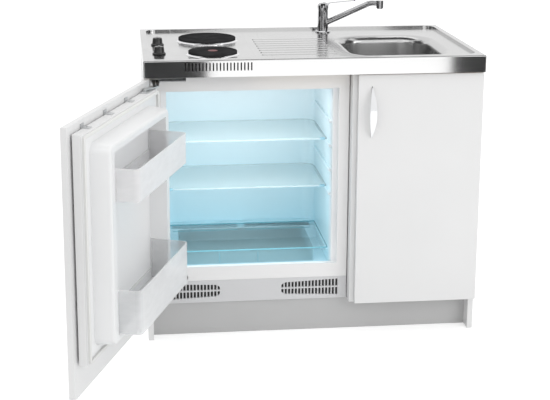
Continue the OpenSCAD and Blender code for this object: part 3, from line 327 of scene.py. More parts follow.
@dataclass(frozen=True)
class Plating(Finish):
    """Bright plated or zinc-coated metal."""

    color: Color = (0.80, 0.80, 0.81)
    worn: float = 0.9
    rough: Pair = (0.05, 0.10)
    grain: float = 60.0

    def dress(self, shader: Shader) -> None:
        """Break the gloss a little with handling marks.

        Args:
            shader: The material to fill.
        """
        marks = shader.noise(self.grain, 4.0)
        dull = tuple(self.worn * c for c in self.color)
        shader.set(Metallic=1.0, Base_Color=shader.blend(shader.spread(marks), self.color, dull))
        shader.set(Roughness=shader.spread(marks, *self.rough))
        shader.relief(marks, 0.00001, 0.2)


@dataclass(frozen=True)
class Coating(Finish):
    """White laminate, paint or moulded plastic with a fine skin."""

    color: Color = (0.82, 0.82, 0.82)
    shade: Color = (0.79, 0.79, 0.79)
    rough: Pair = (0.32, 0.42)
    grain: float = 700.0
    patch_scale: float = 3.0
    depth: float = 0.00003

    def dress(self, shader: Shader) -> None:
        """Give the skin its grain and slow changes of tone.

        Args:
            shader: The material to fill.
        """
        skin = shader.noise(self.grain)
        slow = shader.spread(shader.noise(self.patch_scale))
        shader.set(Base_Color=shader.blend(slow, self.color, self.shade))
        shader.set(Roughness=shader.spread(skin, *self.rough))
        shader.relief(skin, self.depth, 0.5)


@dataclass(frozen=True)
class PaintedLightLining(Finish):
    """Moulded lining with painted light and shade: white at the front, painted blue deeper in, and darker
    towards the bottom.
    """

    # front is the lining's white near the frame; upper and lower are painted light and shade deeper in, with
    # lower the darker painted shade at the bottom.
    front: Color = (0.90, 0.91, 0.92)
    upper: Color = (0.84, 0.93, 0.965)
    lower: Color = (0.62, 0.88, 0.97)
    rough: Pair = (0.28, 0.38)
    heights: Pair = (0.22, 0.74)
    depths: Pair = (0.012, 0.062)
    grain: float = 500.0

    def dress(self, shader: Shader) -> None:
        """Blend the painted light and shade by height and by depth behind the frame.

        Args:
            shader: The material to fill.
        """
        parts = shader.node("ShaderNodeSeparateXYZ", Vector=shader.coords.outputs["Object"]).outputs
        height = shader.spread(parts["Z"], span=self.heights)
        depth = shader.spread(parts["Y"], span=self.depths)
        # Painted light and shade: darker and bluer towards the bottom and deeper in, whiter near the frame.
        inside = shader.blend(height, self.lower, self.upper)
        shader.set(Base_Color=shader.blend(depth, self.front, inside))
        skin = shader.noise(self.grain)
        shader.set(Roughness=shader.spread(skin, *self.rough))
        shader.relief(skin, 0.00003, 0.4)


@dataclass(frozen=True)
class TurnedIron(Finish):
    """Blackened cast iron with rings left by turning round its centre."""

    centre: Point = (0.0, 0.0, 0.0)
    color: Color = (0.026, 0.026, 0.027)
    worn: Color = (0.044, 0.044, 0.046)
    rough: Pair = (0.50, 0.72)
    ring_scale: float = 62.5
    grit_scale: float = 900.0
    patch_scale: float = 25.0

    def dress(self, shader: Shader) -> None:
        """Turn fine rings into the coating.

        Args:
            shader: The material to fill.
        """
        rings = shader.node(
            "ShaderNodeTexWave",
            {"wave_type": "RINGS", "rings_direction": "SPHERICAL"},
            Vector=shader.place((1, 1, 0), self.centre),
            Scale=self.ring_scale,
            Distortion=0.3,
            Detail=1.0,
        )
        grit = shader.noise(self.grit_scale, 3.0)
        patches = shader.spread(shader.noise(self.patch_scale, 3.0))
        shader.set(Base_Color=shader.blend(patches, self.color, self.worn))
        shader.set(Roughness=shader.spread(grit, *self.rough), Specular_IOR_Level=0.0)
        shader.relief(shader.math("ADD", rings.outputs["Fac"], grit), 0.00006, 0.6)


@dataclass(frozen=True)
class ClearSheet(Finish):
    """Clear glass lying level, whose ground edges show their colour."""

    tint: Color
    edge: Color
    alpha: float
    edge_alpha: float = 0.9
    rough: Pair = (0.06, 0.11)
    grain: float = 120.0
    slope: Pair = (0.3, 0.8)

    def dress(self, shader: Shader) -> None:
        """Gather the colour in the upright edges and keep the level faces clear.

        Args:
            shader: The material to fill.
        """
        facing = shader.node("ShaderNodeSeparateXYZ", Vector=shader.coords.outputs["Normal"])
        level = shader.math("ABSOLUTE", facing.outputs["Z"])
        steep = shader.spread(level, 1.0, 0.0, self.slope)
        shader.set(Base_Color=shader.blend(steep, self.tint, self.edge), IOR=1.5)
        shader.set(Roughness=shader.spread(shader.noise(self.grain), *self.rough))
        shader.set(Alpha=shader.spread(level, self.edge_alpha, self.alpha, self.slope))


@dataclass(frozen=True)
class MilkyPlastic(Finish):
    """Moulded plastic that lets some light through, denser where it is seen on edge."""

    color: Color
    alpha: float
    edge_alpha: float
    rough: Pair = (0.30, 0.38)
    worn: float = 0.94
    flow_scale: float = 26.0

    def dress(self, shader: Shader) -> None:
        """Thicken the plastic towards its outline, with faint flow marks.

        Args:
            shader: The material to fill.
        """
        edge = shader.node("ShaderNodeLayerWeight", Blend=0.3).outputs["Facing"]
        flow = shader.noise(self.flow_scale, vector=shader.place((1.0, 1.0, 3.0)))
        dim = tuple(self.worn * c for c in self.color)
        shader.set(Base_Color=shader.blend(shader.spread(flow), self.color, dim))
        shader.set(Roughness=shader.spread(flow, *self.rough))
        shader.set(Alpha=shader.spread(edge, self.alpha, self.edge_alpha, (0.0, 1.0)))


@dataclass(frozen=True)
class PressedBoard(Finish):
    """Raw chipboard: pale flakes in a darker bond."""

    color: Color = (0.46, 0.32, 0.19)
    flake: Color = (0.60, 0.46, 0.30)
    rough: Pair = (0.7, 0.9)
    grain: float = 220.0

    def dress(self, shader: Shader) -> None:
        """Scatter the flakes.

        Args:
            shader: The material to fill.
        """
        spot = shader.place((1, 1, 2.5))
        cells = shader.node("ShaderNodeTexVoronoi", Vector=spot, Scale=self.grain).outputs
        share = shader.spread(cells["Color"], span=(0.2, 0.9))
        shader.set(Base_Color=shader.blend(share, self.color, self.flake))
        shader.set(Roughness=shader.spread(cells["Distance"], *self.rough, (0.0, 1.0)))
        shader.relief(cells["Distance"], 0.0002, 0.6)


ZINC = Plating("zinc_steel", color=(0.62, 0.63, 0.65), rough=(0.22, 0.36), grain=140.0)
BLACK_PLASTIC = Coating(
    "black_plastic", color=(0.022, 0.022, 0.023), shade=(0.03, 0.03, 0.031), rough=(0.35, 0.5)
)
BLACK_PAINT = Coating(
    "black_paint", color=(0.020, 0.020, 0.021), shade=(0.028, 0.028, 0.03), rough=(0.28, 0.4)
)
KNOB_BLACK = Coating(
    "knob_black", color=(0.012, 0.012, 0.013), shade=(0.016, 0.016, 0.017), rough=(0.10, 0.18), depth=0.00001
)
KNOB_WHITE = Coating("knob_mark", color=(0.82, 0.82, 0.82), shade=(0.80, 0.80, 0.80))
RED_SPOT = Coating("red_spot", color=(0.17, 0.018, 0.024), shade=(0.12, 0.015, 0.02), rough=(0.4, 0.55))
SEAL_RUBBER = Coating("seal_rubber", color=(0.58, 0.58, 0.59), shade=(0.55, 0.55, 0.56), rough=(0.5, 0.6))
CLIP_BLUE = Coating("clip_blue", color=(0.30, 0.52, 0.62), shade=(0.26, 0.48, 0.58), rough=(0.30, 0.38))
CRISPER_LINE = Coating("crisper_line", color=(0.20, 0.46, 0.56), shade=(0.18, 0.42, 0.52), rough=(0.2, 0.3))
# Painted shade: the dark of a hole's shaded inside, put on thin discs in place of real holes.
HOLE_PAINTED_SHADE = Coating("hole_dark", color=(0.10, 0.08, 0.06), shade=(0.07, 0.06, 0.05), rough=(0.7, 0.85))

SLOT_FINISHES: dict[str, Finish] = {
    # The satin steel's upright colour paints a highlight on the front band and on other faces that face the
    # front.
    "steel_sheet": RolledSteel(
        "satin_steel", upright=(0.80, 0.80, 0.80), polish=0.5, creases=(-0.401, -0.168, -0.120)
    ),
    "core_board": PressedBoard("core_board"),
    "white_board": Coating("white_laminate"),
    "zinc_steel": ZINC,
    "black_plastic": BLACK_PLASTIC,
    "ring_steel": Plating("ring_steel", color=(0.40, 0.40, 0.40), rough=(0.05, 0.09)),
    "switch_plastic": Coating("pipe_plastic", color=(0.70, 0.70, 0.68), shade=(0.66, 0.66, 0.64)),
    "knob_black": KNOB_BLACK,
    "tap_chrome": Plating("bright_chrome", color=(0.56, 0.56, 0.57), rough=(0.03, 0.06)),
    "bow_chrome": Plating("bow_chrome", color=(0.62, 0.62, 0.63), rough=(0.04, 0.08)),
    "casing_white": Coating(
        "white_shell_paint", color=(0.79, 0.79, 0.79), shade=(0.77, 0.77, 0.77), rough=(0.30, 0.36)
    ),
    "liner_white": Coating(
        "door_lining", color=(0.87, 0.875, 0.88), shade=(0.85, 0.855, 0.86), rough=(0.3, 0.36)
    ),
    "frame_white": Coating("frame_plastic", color=(0.89, 0.885, 0.885), shade=(0.87, 0.865, 0.865)),
    "grille_white": Coating("grille_plastic", color=(0.68, 0.68, 0.69), shade=(0.66, 0.66, 0.67)),
    "shelf_glass": ClearSheet("shelf_glass", tint=(0.70, 0.92, 0.95), edge=(0.08, 0.36, 0.44), alpha=0.04),
    "clear_plastic": MilkyPlastic(
        "crisper_clear", color=(0.50, 0.84, 0.94), alpha=0.09, edge_alpha=0.30, rough=(0.14, 0.22)
    ),
    "balcony_white": MilkyPlastic("balcony_plastic", color=(0.95, 0.95, 0.96), alpha=0.46, edge_alpha=0.92),
    "dial_plastic": Coating("dial_plastic", color=(0.50, 0.52, 0.54), shade=(0.48, 0.50, 0.52)),
    "seal_rubber": SEAL_RUBBER,
    "black_paint": BLACK_PAINT,
    "cast_iron_plate": TurnedIron("cast_iron"),
}

NODE_FINISHES: dict[str, Finish] = {
    "sink_bowl": RolledSteel(
        "bowl_steel", color=(0.62, 0.62, 0.62), rough=(0.18, 0.26), lines=(220.0, 220.0, 900.0)
    ),
    "fridge_liner": PaintedLightLining("room_lining"),
    "balcony_lower": MilkyPlastic("balcony_clear", color=(0.93, 0.94, 0.95), alpha=0.26, edge_alpha=0.85),
    "crisper_cover": ClearSheet("cover_clear", tint=(0.70, 0.92, 0.95), edge=(0.20, 0.52, 0.62), alpha=0.07),
    "hob_tray": BLACK_PAINT,
    # Painted shade: the plinth's darker grey stands for the shadow under the carcass and worktop.
    "plinth": Coating("plinth_grey", color=(0.54, 0.54, 0.54), shade=(0.51, 0.51, 0.51)),
}


# ---------------------------------------------------------------- making pieces


def placed(name: str, data: bpy.types.ID) -> bpy.types.Object:
    """Link a new object into the scene.

    Args:
        name: The object's name.
        data: Its mesh, lamp or camera.

    Returns:
        The object.
    """
    made = bpy.data.objects.new(name, data)
    bpy.context.scene.collection.objects.link(made)
    return made


def settle(mesh: Mesh, name: str, body: str, finish: Finish | None = None) -> bpy.types.Object:
    """Put a finished mesh in the scene as a piece of one body.

    Args:
        mesh: The mesh, with its place in it.
        name: The piece's name.
        body: The body that it moves with.
        finish: Its finish, if the mesh has none yet.

    Returns:
        The new object.
    """
    mesh.name = name
    if finish is not None:
        mesh.materials.clear()
        mesh.materials.append(finish.make())
    piece = placed(name, mesh)
    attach(piece, body)
    log.info("%s: %d faces on %s", name, len(mesh.polygons), body)
    return piece


def mesh_from(shape: Shape, smooth: float = 0.5) -> Mesh:
    """Close a bmesh into a mesh with outward faces.

    Args:
        shape: The shape, which is freed.
        smooth: Angle in radians below which edges shade smooth.

    Returns:
        The mesh.
    """
    bmesh.ops.remove_doubles(shape, verts=shape.verts, dist=1e-7)
    bmesh.ops.recalc_face_normals(shape, faces=shape.faces)
    mesh = bpy.data.meshes.new("shape")
    for face in shape.faces:
        face.smooth = True
    for edge in shape.edges:
        edge.smooth = len(edge.link_faces) != 2 or edge.calc_face_angle(0.0) < smooth
    shape.to_mesh(mesh)
    shape.free()
    return mesh


def ring(shape: Shape, radius: float, height: float, steps: int) -> Verts:
    """Add a level ring of points round the Z axis.

    Args:
        shape: The shape that gets them.
        radius: The ring's radius in metres.
        height: Its height.
        steps: How many points, of which only one is made on the axis.

    Returns:
        The points.
    """
    if radius < 1e-9:
        return [shape.verts.new((0, 0, height))]
    turns = [2 * math.pi * i / steps for i in range(steps)]
    return [shape.verts.new((radius * math.cos(a), radius * math.sin(a), height)) for a in turns]


def bridge(shape: Shape, low: Verts, high: Verts) -> None:
    """Join two closed loops with faces.

    Args:
        shape: The shape that holds them.
        low: First loop, or a single point.
        high: Second loop, or a single point.
    """
    steps = max(len(low), len(high))
    for i in range(steps):
        j = (i + 1) % steps
        corners = [low[i % len(low)], low[j % len(low)], high[j % len(high)], high[i % len(high)]]
        unique = list(dict.fromkeys(corners))
        if len(unique) > 2:
            shape.faces.new(unique)


def turned_shape(profile: Sequence[Pair], steps: int) -> Shape:
    """Turn a profile round the Z axis.

    Args:
        profile: Radius and height pairs in metres, from the axis and back to it.
        steps: Steps round the axis.

    Returns:
        The closed shape.
    """
    shape = bmesh.new()
    rings = [ring(shape, radius, height, steps) for radius, height in profile]
    for low, high in zip(rings, rings[1:]):
        bridge(shape, low, high)
    return shape


def rounded_block(low: Vector, high: Vector, radius: float, segments: int = 3) -> Shape:
    """Make a block with rounded edges.

    Args:
        low: Lowest corner in metres.
        high: Highest corner.
        radius: Edge radius.
        segments: Facets across each edge.

    Returns:
        The shape.
    """
    shape = bmesh.new()
    bmesh.ops.create_cube(shape, size=1.0)
    fit = Matrix.Translation((low + high) / 2) @ Matrix.Diagonal((*(high - low), 1.0))
    bmesh.ops.transform(shape, matrix=fit, verts=shape.verts)
    edges = list(shape.edges)
    bmesh.ops.bevel(
        shape, geom=edges, offset=radius, segments=segments, profile=0.5, affect="EDGES", clamp_overlap=True
    )
    return shape


def joined(shapes: Sequence[Shape]) -> Shape:
    """Gather several shapes into one.

    Args:
        shapes: The shapes, which are freed.

    Returns:
        One shape that holds them all.
    """
    whole = bmesh.new()
    for shape in shapes:
        part = bpy.data.meshes.new("part")
        shape.to_mesh(part)
        whole.from_mesh(part)
        bpy.data.meshes.remove(part)
        shape.free()
    return whole


class PatternTree(NodeTools):
    """A Geometry Nodes tree with named sizes, grown on a mesh and baked to a plain one."""

    def __init__(self, name: str) -> None:
        """Start an empty tree.

        Args:
            name: The pattern's name.
        """
        super().__init__(bpy.data.node_groups.new(name, "GeometryNodeTree"))
        for way in ("INPUT", "OUTPUT"):
            self.tree.interface.new_socket(name="Geometry", in_out=way, socket_type="NodeSocketGeometry")
        self.start = self.node("NodeGroupInput")
        self.end = self.node("NodeGroupOutput")
        self.keys: dict[str, str] = {}

    def size(self, name: str, kind: str = "NodeSocketFloat") -> Socket:
        """Add a named input.

        Args:
            name: The input's name.
            kind: Its socket type.

        Returns:
            The socket that gives its value inside the tree.
        """
        made = self.tree.interface.new_socket(name=name, in_out="INPUT", socket_type=kind)
        self.keys[name] = made.identifier
        return self.start.outputs[name]

    def finish(self, geometry: Socket, material: bpy.types.Material) -> None:
        """End the tree in Realize Instances and Set Material.

        Args:
            geometry: What the tree made.
            material: The finish of all of it.
        """
        real = self.node("GeometryNodeRealizeInstances", Geometry=geometry)
        dressed = self.node("GeometryNodeSetMaterial", Geometry=real.outputs[0], Material=material)
        self.feed(self.end.inputs[0], dressed.outputs[0])

    def grow(self, seed: Mesh, sizes: dict[str, object]) -> Mesh:
        """Run the tree once and return its plain mesh.

        Args:
            seed: The mesh that the tree starts from.
            sizes: Values of the named inputs.

        Returns:
            The mesh, with its material.
        """
        carrier = placed("carrier", seed)
        modifier = carrier.modifiers.new("pattern", "NODES")
        modifier.node_group = self.tree
        for name, value in sizes.items():
            modifier[self.keys[name]] = value
        shown = carrier.evaluated_get(bpy.context.evaluated_depsgraph_get())
        grown = bpy.data.meshes.new_from_object(shown)
        carrier.modifiers.remove(modifier)
        bpy.data.objects.remove(carrier)
        return grown


def points_mesh(points: Sequence[Vector]) -> Mesh:
    """Make a mesh of bare points.

    Args:
        points: Places in metres.

    Returns:
        The mesh.
    """
    mesh = bpy.data.meshes.new("points")
    mesh.from_pydata([tuple(p) for p in points], [], [])
    return mesh


@dataclass
class ScrewRow:
    """Screw heads with a cross recess, set on points and facing one way."""

    head: float = 3.2
    height: float = 1.3
    steps: int = 24
    # Shares of the radius and of the height.
    dome: Sequence[Pair] = ((1.0, 0.0), (1.0, 0.35), (0.9, 0.7), (0.62, 0.95))
    finish: Finish = ZINC

    def head_mesh(self) -> Mesh:
        """Build one head with its cross recess, its seat at the origin."""
        radius, height = self.head / 1000, self.height / 1000
        shape = bmesh.new()
        rings = [ring(shape, radius * share, height * level, self.steps) for share, level in self.dome]
        for low, high in zip(rings, rings[1:]):
            bridge(shape, low, high)
        arm, slot = radius * 0.5, radius * 0.13
        cross: Verts = []
        for quarter in range(4):
            turn = Matrix.Rotation(quarter * math.pi / 2, 3, "Z")
            for x, y in ((arm, -slot), (arm, slot), (slot, slot)):
                cross.append(shape.verts.new(turn @ Vector((x, y, height))))
        sector = self.steps // len(cross)
        for k, corner in enumerate(cross):
            edge = [rings[-1][(k * sector + s) % self.steps] for s in range(sector + 1)]
            shape.faces.new([corner, *edge, cross[(k + 1) % len(cross)]])
        floor = [shape.verts.new((v.co.x * 0.6, v.co.y * 0.6, height * 0.45)) for v in cross]
        bridge(shape, cross, floor)
        shape.faces.new(floor)
        shape.faces.new(list(reversed(rings[0])))
        return mesh_from(shape)

    def mesh(self, points: Sequence[Vector], facing: Vector) -> Mesh:
        """Set a head on every point.

        Args:
            points: Seats of the heads in metres.
            facing: The way that they face.

        Returns:
            One mesh with all heads.
        """
        head = placed("screw_head", self.head_mesh())
        pattern = PatternTree("screw_row")
        turn = pattern.size("Turn", "NodeSocketRotation")
        source = pattern.node("GeometryNodeObjectInfo", Object=head).outputs["Geometry"]
        spots = pattern.start.outputs[0]
        heads = pattern.node("GeometryNodeInstanceOnPoints", Points=spots, Instance=source, Rotation=turn)
        pattern.finish(heads.outputs[0], self.finish.make())
        spin = facing.to_track_quat("Z", "Y").to_euler()
        grown = pattern.grow(points_mesh(points), {"Turn": tuple(spin)})
        bpy.data.objects.remove(head)
        return grown


# ---------------------------------------------------------------- sub-assemblies


@dataclass
class Hob:
    """Two cast-iron plates and their knobs on the left of the steel top."""

    plate_x: float = 208.0
    rear_y: float = 385.0
    front_y: float = 135.0
    rear_d: float = 180.0
    front_d: float = 145.0
    field_z: float = 853.0
    rise: float = 12.0
    knob_x: float = 50.0
    knob_rear_y: float = 314.0
    knob_front_y: float = 152.0
    knob_d: float = 40.0
    knob_h: float = 25.0
    red_dot_d: float = 30.0

    def plate_profile(self, diameter: float, dot: bool) -> list[Pair]:
        """Return one plate's profile in metres above the field.

        Args:
            diameter: The plate's diameter.
            dot: True for a plate with a flush middle, False for one with a sunken middle.

        Returns:
            Radius and height pairs.
        """
        r, top = diameter / 2, self.rise
        flush = [(0.0, -0.5), (self.red_dot_d / 2, -0.5), (self.red_dot_d / 2 + 0.8, -0.1)]
        sunken = [(0.0, -0.9), (2.6, -0.9), (3.2, -2.2), (16.5, -2.2), (18.5, -0.2)]
        middle = flush if dot else sunken
        rings: list[Pair] = []
        radius = middle[-1][0] + 1.5
        while radius < r - 14:
            rings += [(radius, 0.0), (radius + 2.6, 0.0), (radius + 3.1, -0.22), (radius + 3.5, -0.22)]
            radius += 4.0
        groove = [(r - 12, 0.0), (r - 11, -0.6), (r - 10, -0.6), (r - 9, 0.0)]
        rim = [(r - 1.8, 0.0), (r - 0.5, -0.5), (r, -1.6), (r, -6.2), (r - 2, -7.0), (r - 9, -7.0)]
        foot = [(r - 9, -6.0 - top), (0.0, -6.0 - top)]
        return [(a / 1000, (top + b) / 1000) for a, b in middle + rings + groove + rim + foot]

    def build_plates(self) -> None:
        """Turn both plates and the red spot of the front one."""
        plates = (("rear", self.rear_y, self.rear_d, False), ("front", self.front_y, self.front_d, True))
        for name, y, d, dot in plates:
            shape = turned_shape(self.plate_profile(d, dot), steps=128)
            centre = unit(self.plate_x, y, self.field_z)
            bmesh.ops.translate(shape, verts=shape.verts, vec=centre)
            iron = TurnedIron(f"cast_iron_{name}", centre=tuple(centre))
            piece = settle(mesh_from(shape), f"hotplate_{name}_turned", "root", iron)
            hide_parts(f"hotplate_{name}")
        spot = self.red_dot_d / 2000
        edge = spot - 0.0004
        disc = [(0, 0.00035), (spot - 0.0012, 0.00035), (edge, 0.0002), (edge, -0.0002), (0, -0.0002)]
        shape = turned_shape(disc, steps=48)
        place = unit(self.plate_x, self.front_y, self.field_z + self.rise - 0.5)
        bmesh.ops.translate(shape, verts=shape.verts, vec=place)
        settle(mesh_from(shape, smooth=0.6), "hotplate_front_spot", "root", RED_SPOT)

    def knob_mesh(self, y: float) -> tuple[Mesh, Mesh]:
        """Build a knob and its mark.

        Args:
            y: The knob's place from the worktop's front edge.

        Returns:
            The knob's mesh and the mark's mesh.
        """
        r, h = self.knob_d / 2000, self.knob_h / 1000
        base = [(0, 0.0006), (r - 0.0006, 0.0006), (r, 0.0012), (r, 0.0030), (r - 0.0008, 0.0042)]
        waist = [(r - 0.003, 0.0056), (r - 0.0042, 0.0080), (r - 0.0052, h * 0.75)]
        crown = [(r - 0.0062, h - 0.0026), (r - 0.0074, h - 0.0014), (r - 0.0090, h - 0.0011)]
        skirt = turned_shape(base + waist + crown + [(0, h - 0.0011)], steps=64)
        start, end = Vector((-0.0028, -r + 0.0085, h - 0.0030)), Vector((0.0028, r - 0.0085, h))
        grip = rounded_block(start, end, radius=0.0012)
        spindle = turned_shape([(0, -0.0166), (0.003, -0.0166), (0.003, 0.001), (0, 0.001)], steps=32)
        knob = joined([skirt, grip, spindle])
        start, end = Vector((-0.0007, -r + 0.0088, h - 0.0004)), Vector((0.0007, -r + 0.0150, h - 0.00005))
        mark = rounded_block(start, end, radius=0.0001, segments=1)
        place = unit(self.knob_x, y, self.field_z)
        for shape in (knob, mark):
            bmesh.ops.translate(shape, verts=shape.verts, vec=place)
        return mesh_from(knob), mesh_from(mark)

    def build_knobs(self) -> None:
        """Build both knobs with their marks."""
        for name, y in (("rear", self.knob_rear_y), ("front", self.knob_front_y)):
            knob, mark = self.knob_mesh(y)
            piece = settle(knob, f"knob_{name}_turned", f"knob_{name}", KNOB_BLACK)
            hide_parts(f"knob_{name}")
            settle(mark, f"knob_{name}_mark", f"knob_{name}", KNOB_WHITE)

    def build(self) -> None:
        """Build the hob."""
        self.build_plates()
        self.build_knobs()


@dataclass
class DoorSeal:
    """The magnetic seal round the open fridge door: a bellows section along a rounded path."""

    x0: float = 26.0
    x1: float = 602.0
    z0: float = 193.0
    z1: float = 782.0
    width: float = 9.0
    base_y: float = 59.0
    depth: float = 7.0
    corner: float = 6.0
    # One half of the section: shares of half the width, and of the depth.
    half: Sequence[Pair] = (
        (0.60, 0.0), (0.60, 0.18), (0.95, 0.26), (0.98, 0.40),
        (0.62, 0.52), (0.94, 0.64), (0.98, 0.86), (0.80, 1.0),
    )

    def section(self) -> list[Pair]:
        """Return the section in millimetres: across the bar, and out from the door."""
        half = [(self.width / 2 * a, self.depth * b) for a, b in self.half]
        return half + [(-x, y) for x, y in reversed(half)]

    def build(self) -> None:
        """Sweep the section along the door's rim and open it with the door."""
        shape = bmesh.new()
        inset = self.width / 2 + self.corner
        left, right, low, top = self.x0 + inset, self.x1 - inset, self.z0 + inset, self.z1 - inset
        section = self.section()
        rings = []
        for cx, cz, start in ((right, top, 0), (left, top, 90), (left, low, 180), (right, low, 270)):
            for turn in range(start, start + 91, 15):
                cos, sin = math.cos(math.radians(turn)), math.sin(math.radians(turn))
                x, z = cx + self.corner * cos, cz + self.corner * sin
                places = [unit(x + a * cos, self.base_y + out, z + a * sin) for a, out in section]
                rings.append([shape.verts.new(place) for place in places])
        for k, loop in enumerate(rings):
            bridge(shape, loop, rings[(k + 1) % len(rings)])
        bmesh.ops.transform(shape, matrix=fridge_door_pose(), verts=shape.verts)
        piece = settle(mesh_from(shape, smooth=0.7), "door_seal_bellows", "fridge_door", SEAL_RUBBER)
        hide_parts("door_seal")


@dataclass
class Fastenings:
    """Screws of the brackets between the fridge door's shell and its furniture front."""

    shell_z: Pair = (190.0, 785.0)
    plate: float = 2.0
    bracket_x: Sequence[float] = (204.0, 364.0, 524.0)
    bracket_y: float = 40.0
    spread: float = 6.0

    def build(self) -> None:
        """Set the screws on the upper and the lower brackets."""
        pose = fridge_door_pose()
        for name, level, up in (("top", self.shell_z[1], 1), ("low", self.shell_z[0], -1)):
            z = level + up * self.plate
            places = [x + dx for x in self.bracket_x for dx in (-self.spread, self.spread)]
            seats = [pose @ unit(x, self.bracket_y, z) for x in places]
            mesh = ScrewRow().mesh(seats, Vector((0, 0, up)))
            settle(mesh, f"door_bracket_screws_{name}", "fridge_door")


@dataclass
class ColdRoom:
    """Small pieces of the fridge: shelf clips, the crisper's ribs and the air guide behind the grille, a
    black sheet that also paints the shade behind the slots.
    """

    shelf_z: Sequence[float] = (424.0, 574.0)
    shelf_t: float = 4.0
    clip_x: Sequence[float] = (79.0, 549.0)
    clip_y: float = 180.5
    clip_size: Point = (16.0, 9.0, 7.0)
    # The air guide's box: a thin black sheet that stands for a duct and paints the shade behind the grille's
    # slots.
    guide: tuple[Point, Point] = ((26.0, 75.04, 103.0), (602.0, 75.26, 169.5))
    rib_x: Sequence[float] = (226.0, 345.0)
    rib_y: Pair = (145.3, 148.4)
    rib_z: Pair = (197.0, 230.0)
    rib_w: float = 1.8

    def build_clips(self) -> None:
        """Snap a clip on both ends of each glass shelf's front edge."""
        width, depth, height = self.clip_size
        clips = []
        for z in self.shelf_z:
            for x in self.clip_x:
                low = unit(x - width / 2, self.clip_y, z - (height - self.shelf_t) / 2)
                high = unit(x + width / 2, self.clip_y + depth, z + (height + self.shelf_t) / 2)
                clips.append(rounded_block(low, high, radius=0.0014))
        settle(mesh_from(joined(clips)), "shelf_clips", "root", CLIP_BLUE)

    def build_shade_guide(self) -> None:
        """Hang the air guide, a thin black sheet of painted shade, close behind the grille's slots."""
        low, high = self.guide
        guide = mesh_from(rounded_block(unit(*low), unit(*high), radius=0.00005, segments=1))
        settle(guide, "grille_air_guide", "root", BLACK_PLASTIC)

    def build_ribs(self) -> None:
        """Stand two fine ribs on the inside of the crisper's front."""
        ribs = []
        for x in self.rib_x:
            low = unit(x - self.rib_w / 2, self.rib_y[0], self.rib_z[0])
            high = unit(x + self.rib_w / 2, self.rib_y[1], self.rib_z[1])
            ribs.append(rounded_block(low, high, radius=0.0004))
        settle(mesh_from(joined(ribs)), "crisper_ribs", "crisper", CRISPER_LINE)

    def build(self) -> None:
        """Build all of them."""
        self.build_clips()
        self.build_shade_guide()
        self.build_ribs()


@dataclass
class CondenserGrid:
    """The fine upright wires welded to the condenser's tube on both faces."""

    x0: float = 96.0
    x1: float = 532.0
    z0: float = 279.0
    z1: float = 717.0
    tube_y: float = 515.0
    tube_r: float = 3.0
    wire_r: float = 0.8
    weld: float = 0.1
    count: int = 30

    def build(self) -> None:
        """Stand the wires on a row of points with Geometry Nodes."""
        pattern = PatternTree("condenser_wires")
        count = pattern.size("Count", "NodeSocketInt")
        radius, length, reach = pattern.size("Radius"), pattern.size("Length"), pattern.size("Reach")
        end = pattern.node("ShaderNodeCombineXYZ", X=reach).outputs[0]
        line = {"mode": "END_POINTS", "count_mode": "TOTAL"}
        row = pattern.node("GeometryNodeMeshLine", line, Count=count, Offset=end).outputs[0]
        wire = pattern.node("GeometryNodeMeshCylinder", Vertices=8, Radius=radius, Depth=length)
        wires = pattern.node("GeometryNodeInstanceOnPoints", Points=row, Instance=wire.outputs["Mesh"])
        pattern.finish(wires.outputs[0], BLACK_PAINT.make())
        sizes = {
            "Count": self.count,
            "Radius": self.wire_r / 1000,
            "Length": (self.z1 - self.z0) / 1000,
            "Reach": (self.x1 - self.x0) / 1000,
        }
        whole = bmesh.new()
        for side in (-1, 1):
            grown = pattern.grow(points_mesh([]), sizes)
            y = self.tube_y + side * (self.tube_r + self.wire_r - self.weld)
            grown.transform(Matrix.Translation(unit(self.x0, y, (self.z0 + self.z1) / 2)))
            whole.from_mesh(grown)
        settle(mesh_from(whole, smooth=0.9), "condenser_wires", "root", BLACK_PAINT)


@dataclass
class SystemHoles:
    """Two rows of shelf-pin holes on both inner faces of the cabinet, 32 mm apart, each a thin disc painted
    dark for the shade inside the hole.
    """

    faces_x: Sequence[float] = (627.0, 982.5)
    rows_y: Sequence[float] = (67.0, 500.0)
    z0: float = 208.0
    z1: float = 720.0
    pitch: float = 32.0
    radius: float = 2.5

    def hole_mesh(self) -> Mesh:
        """Build one hole's dished mouth, a thin disc painted dark for the shade inside the hole, facing +Z.
        """
        r = self.radius / 1000
        dish = [(0, 0.00004), (r * 0.7, 0.00005), (r, 0.0001)]
        lip = [(r * 1.08, 0.00006), (r * 1.08, -0.0002), (0, -0.0002)]
        return mesh_from(turned_shape(dish + lip, steps=20))

    def build(self) -> None:
        """Set the rows with Geometry Nodes, one mesh for all of them."""
        mouth = placed("hole_mouth", self.hole_mesh())
        pattern = PatternTree("system_holes")
        turn = pattern.size("Turn", "NodeSocketRotation")
        source = pattern.node("GeometryNodeObjectInfo", Object=mouth).outputs["Geometry"]
        spots = pattern.start.outputs[0]
        mouths = pattern.node("GeometryNodeInstanceOnPoints", Points=spots, Instance=source, Rotation=turn)
        pattern.finish(mouths.outputs[0], HOLE_PAINTED_SHADE.make())
        whole = bmesh.new()
        steps = int((self.z1 - self.z0) / self.pitch) + 1
        for x, side in zip(self.faces_x, (1, -1)):
            points = [unit(x, y, self.z0 + i * self.pitch) for y in self.rows_y for i in range(steps)]
            spin = Vector((side, 0, 0)).to_track_quat("Z", "Y").to_euler()
            whole.from_mesh(pattern.grow(points_mesh(points), {"Turn": tuple(spin)}))
        bpy.data.objects.remove(mouth)
        settle(mesh_from(whole), "system_holes", "root", HOLE_PAINTED_SHADE)


def dress_frame(frame: dict) -> None:
    """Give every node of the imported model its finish.
    """
    slots = {part["node"]: part["material_slot"] for part in frame["record"]["subparts"]}
    for name, node in frame["nodes"].items():
        finish = NODE_FINISHES.get(name) or SLOT_FINISHES[slots[name]]
        material = finish.make()
        if not node.material_slots:
            node.data.materials.append(material)
        for holder in node.material_slots:
            holder.material = material


# ---------------------------------------------------------------- studio


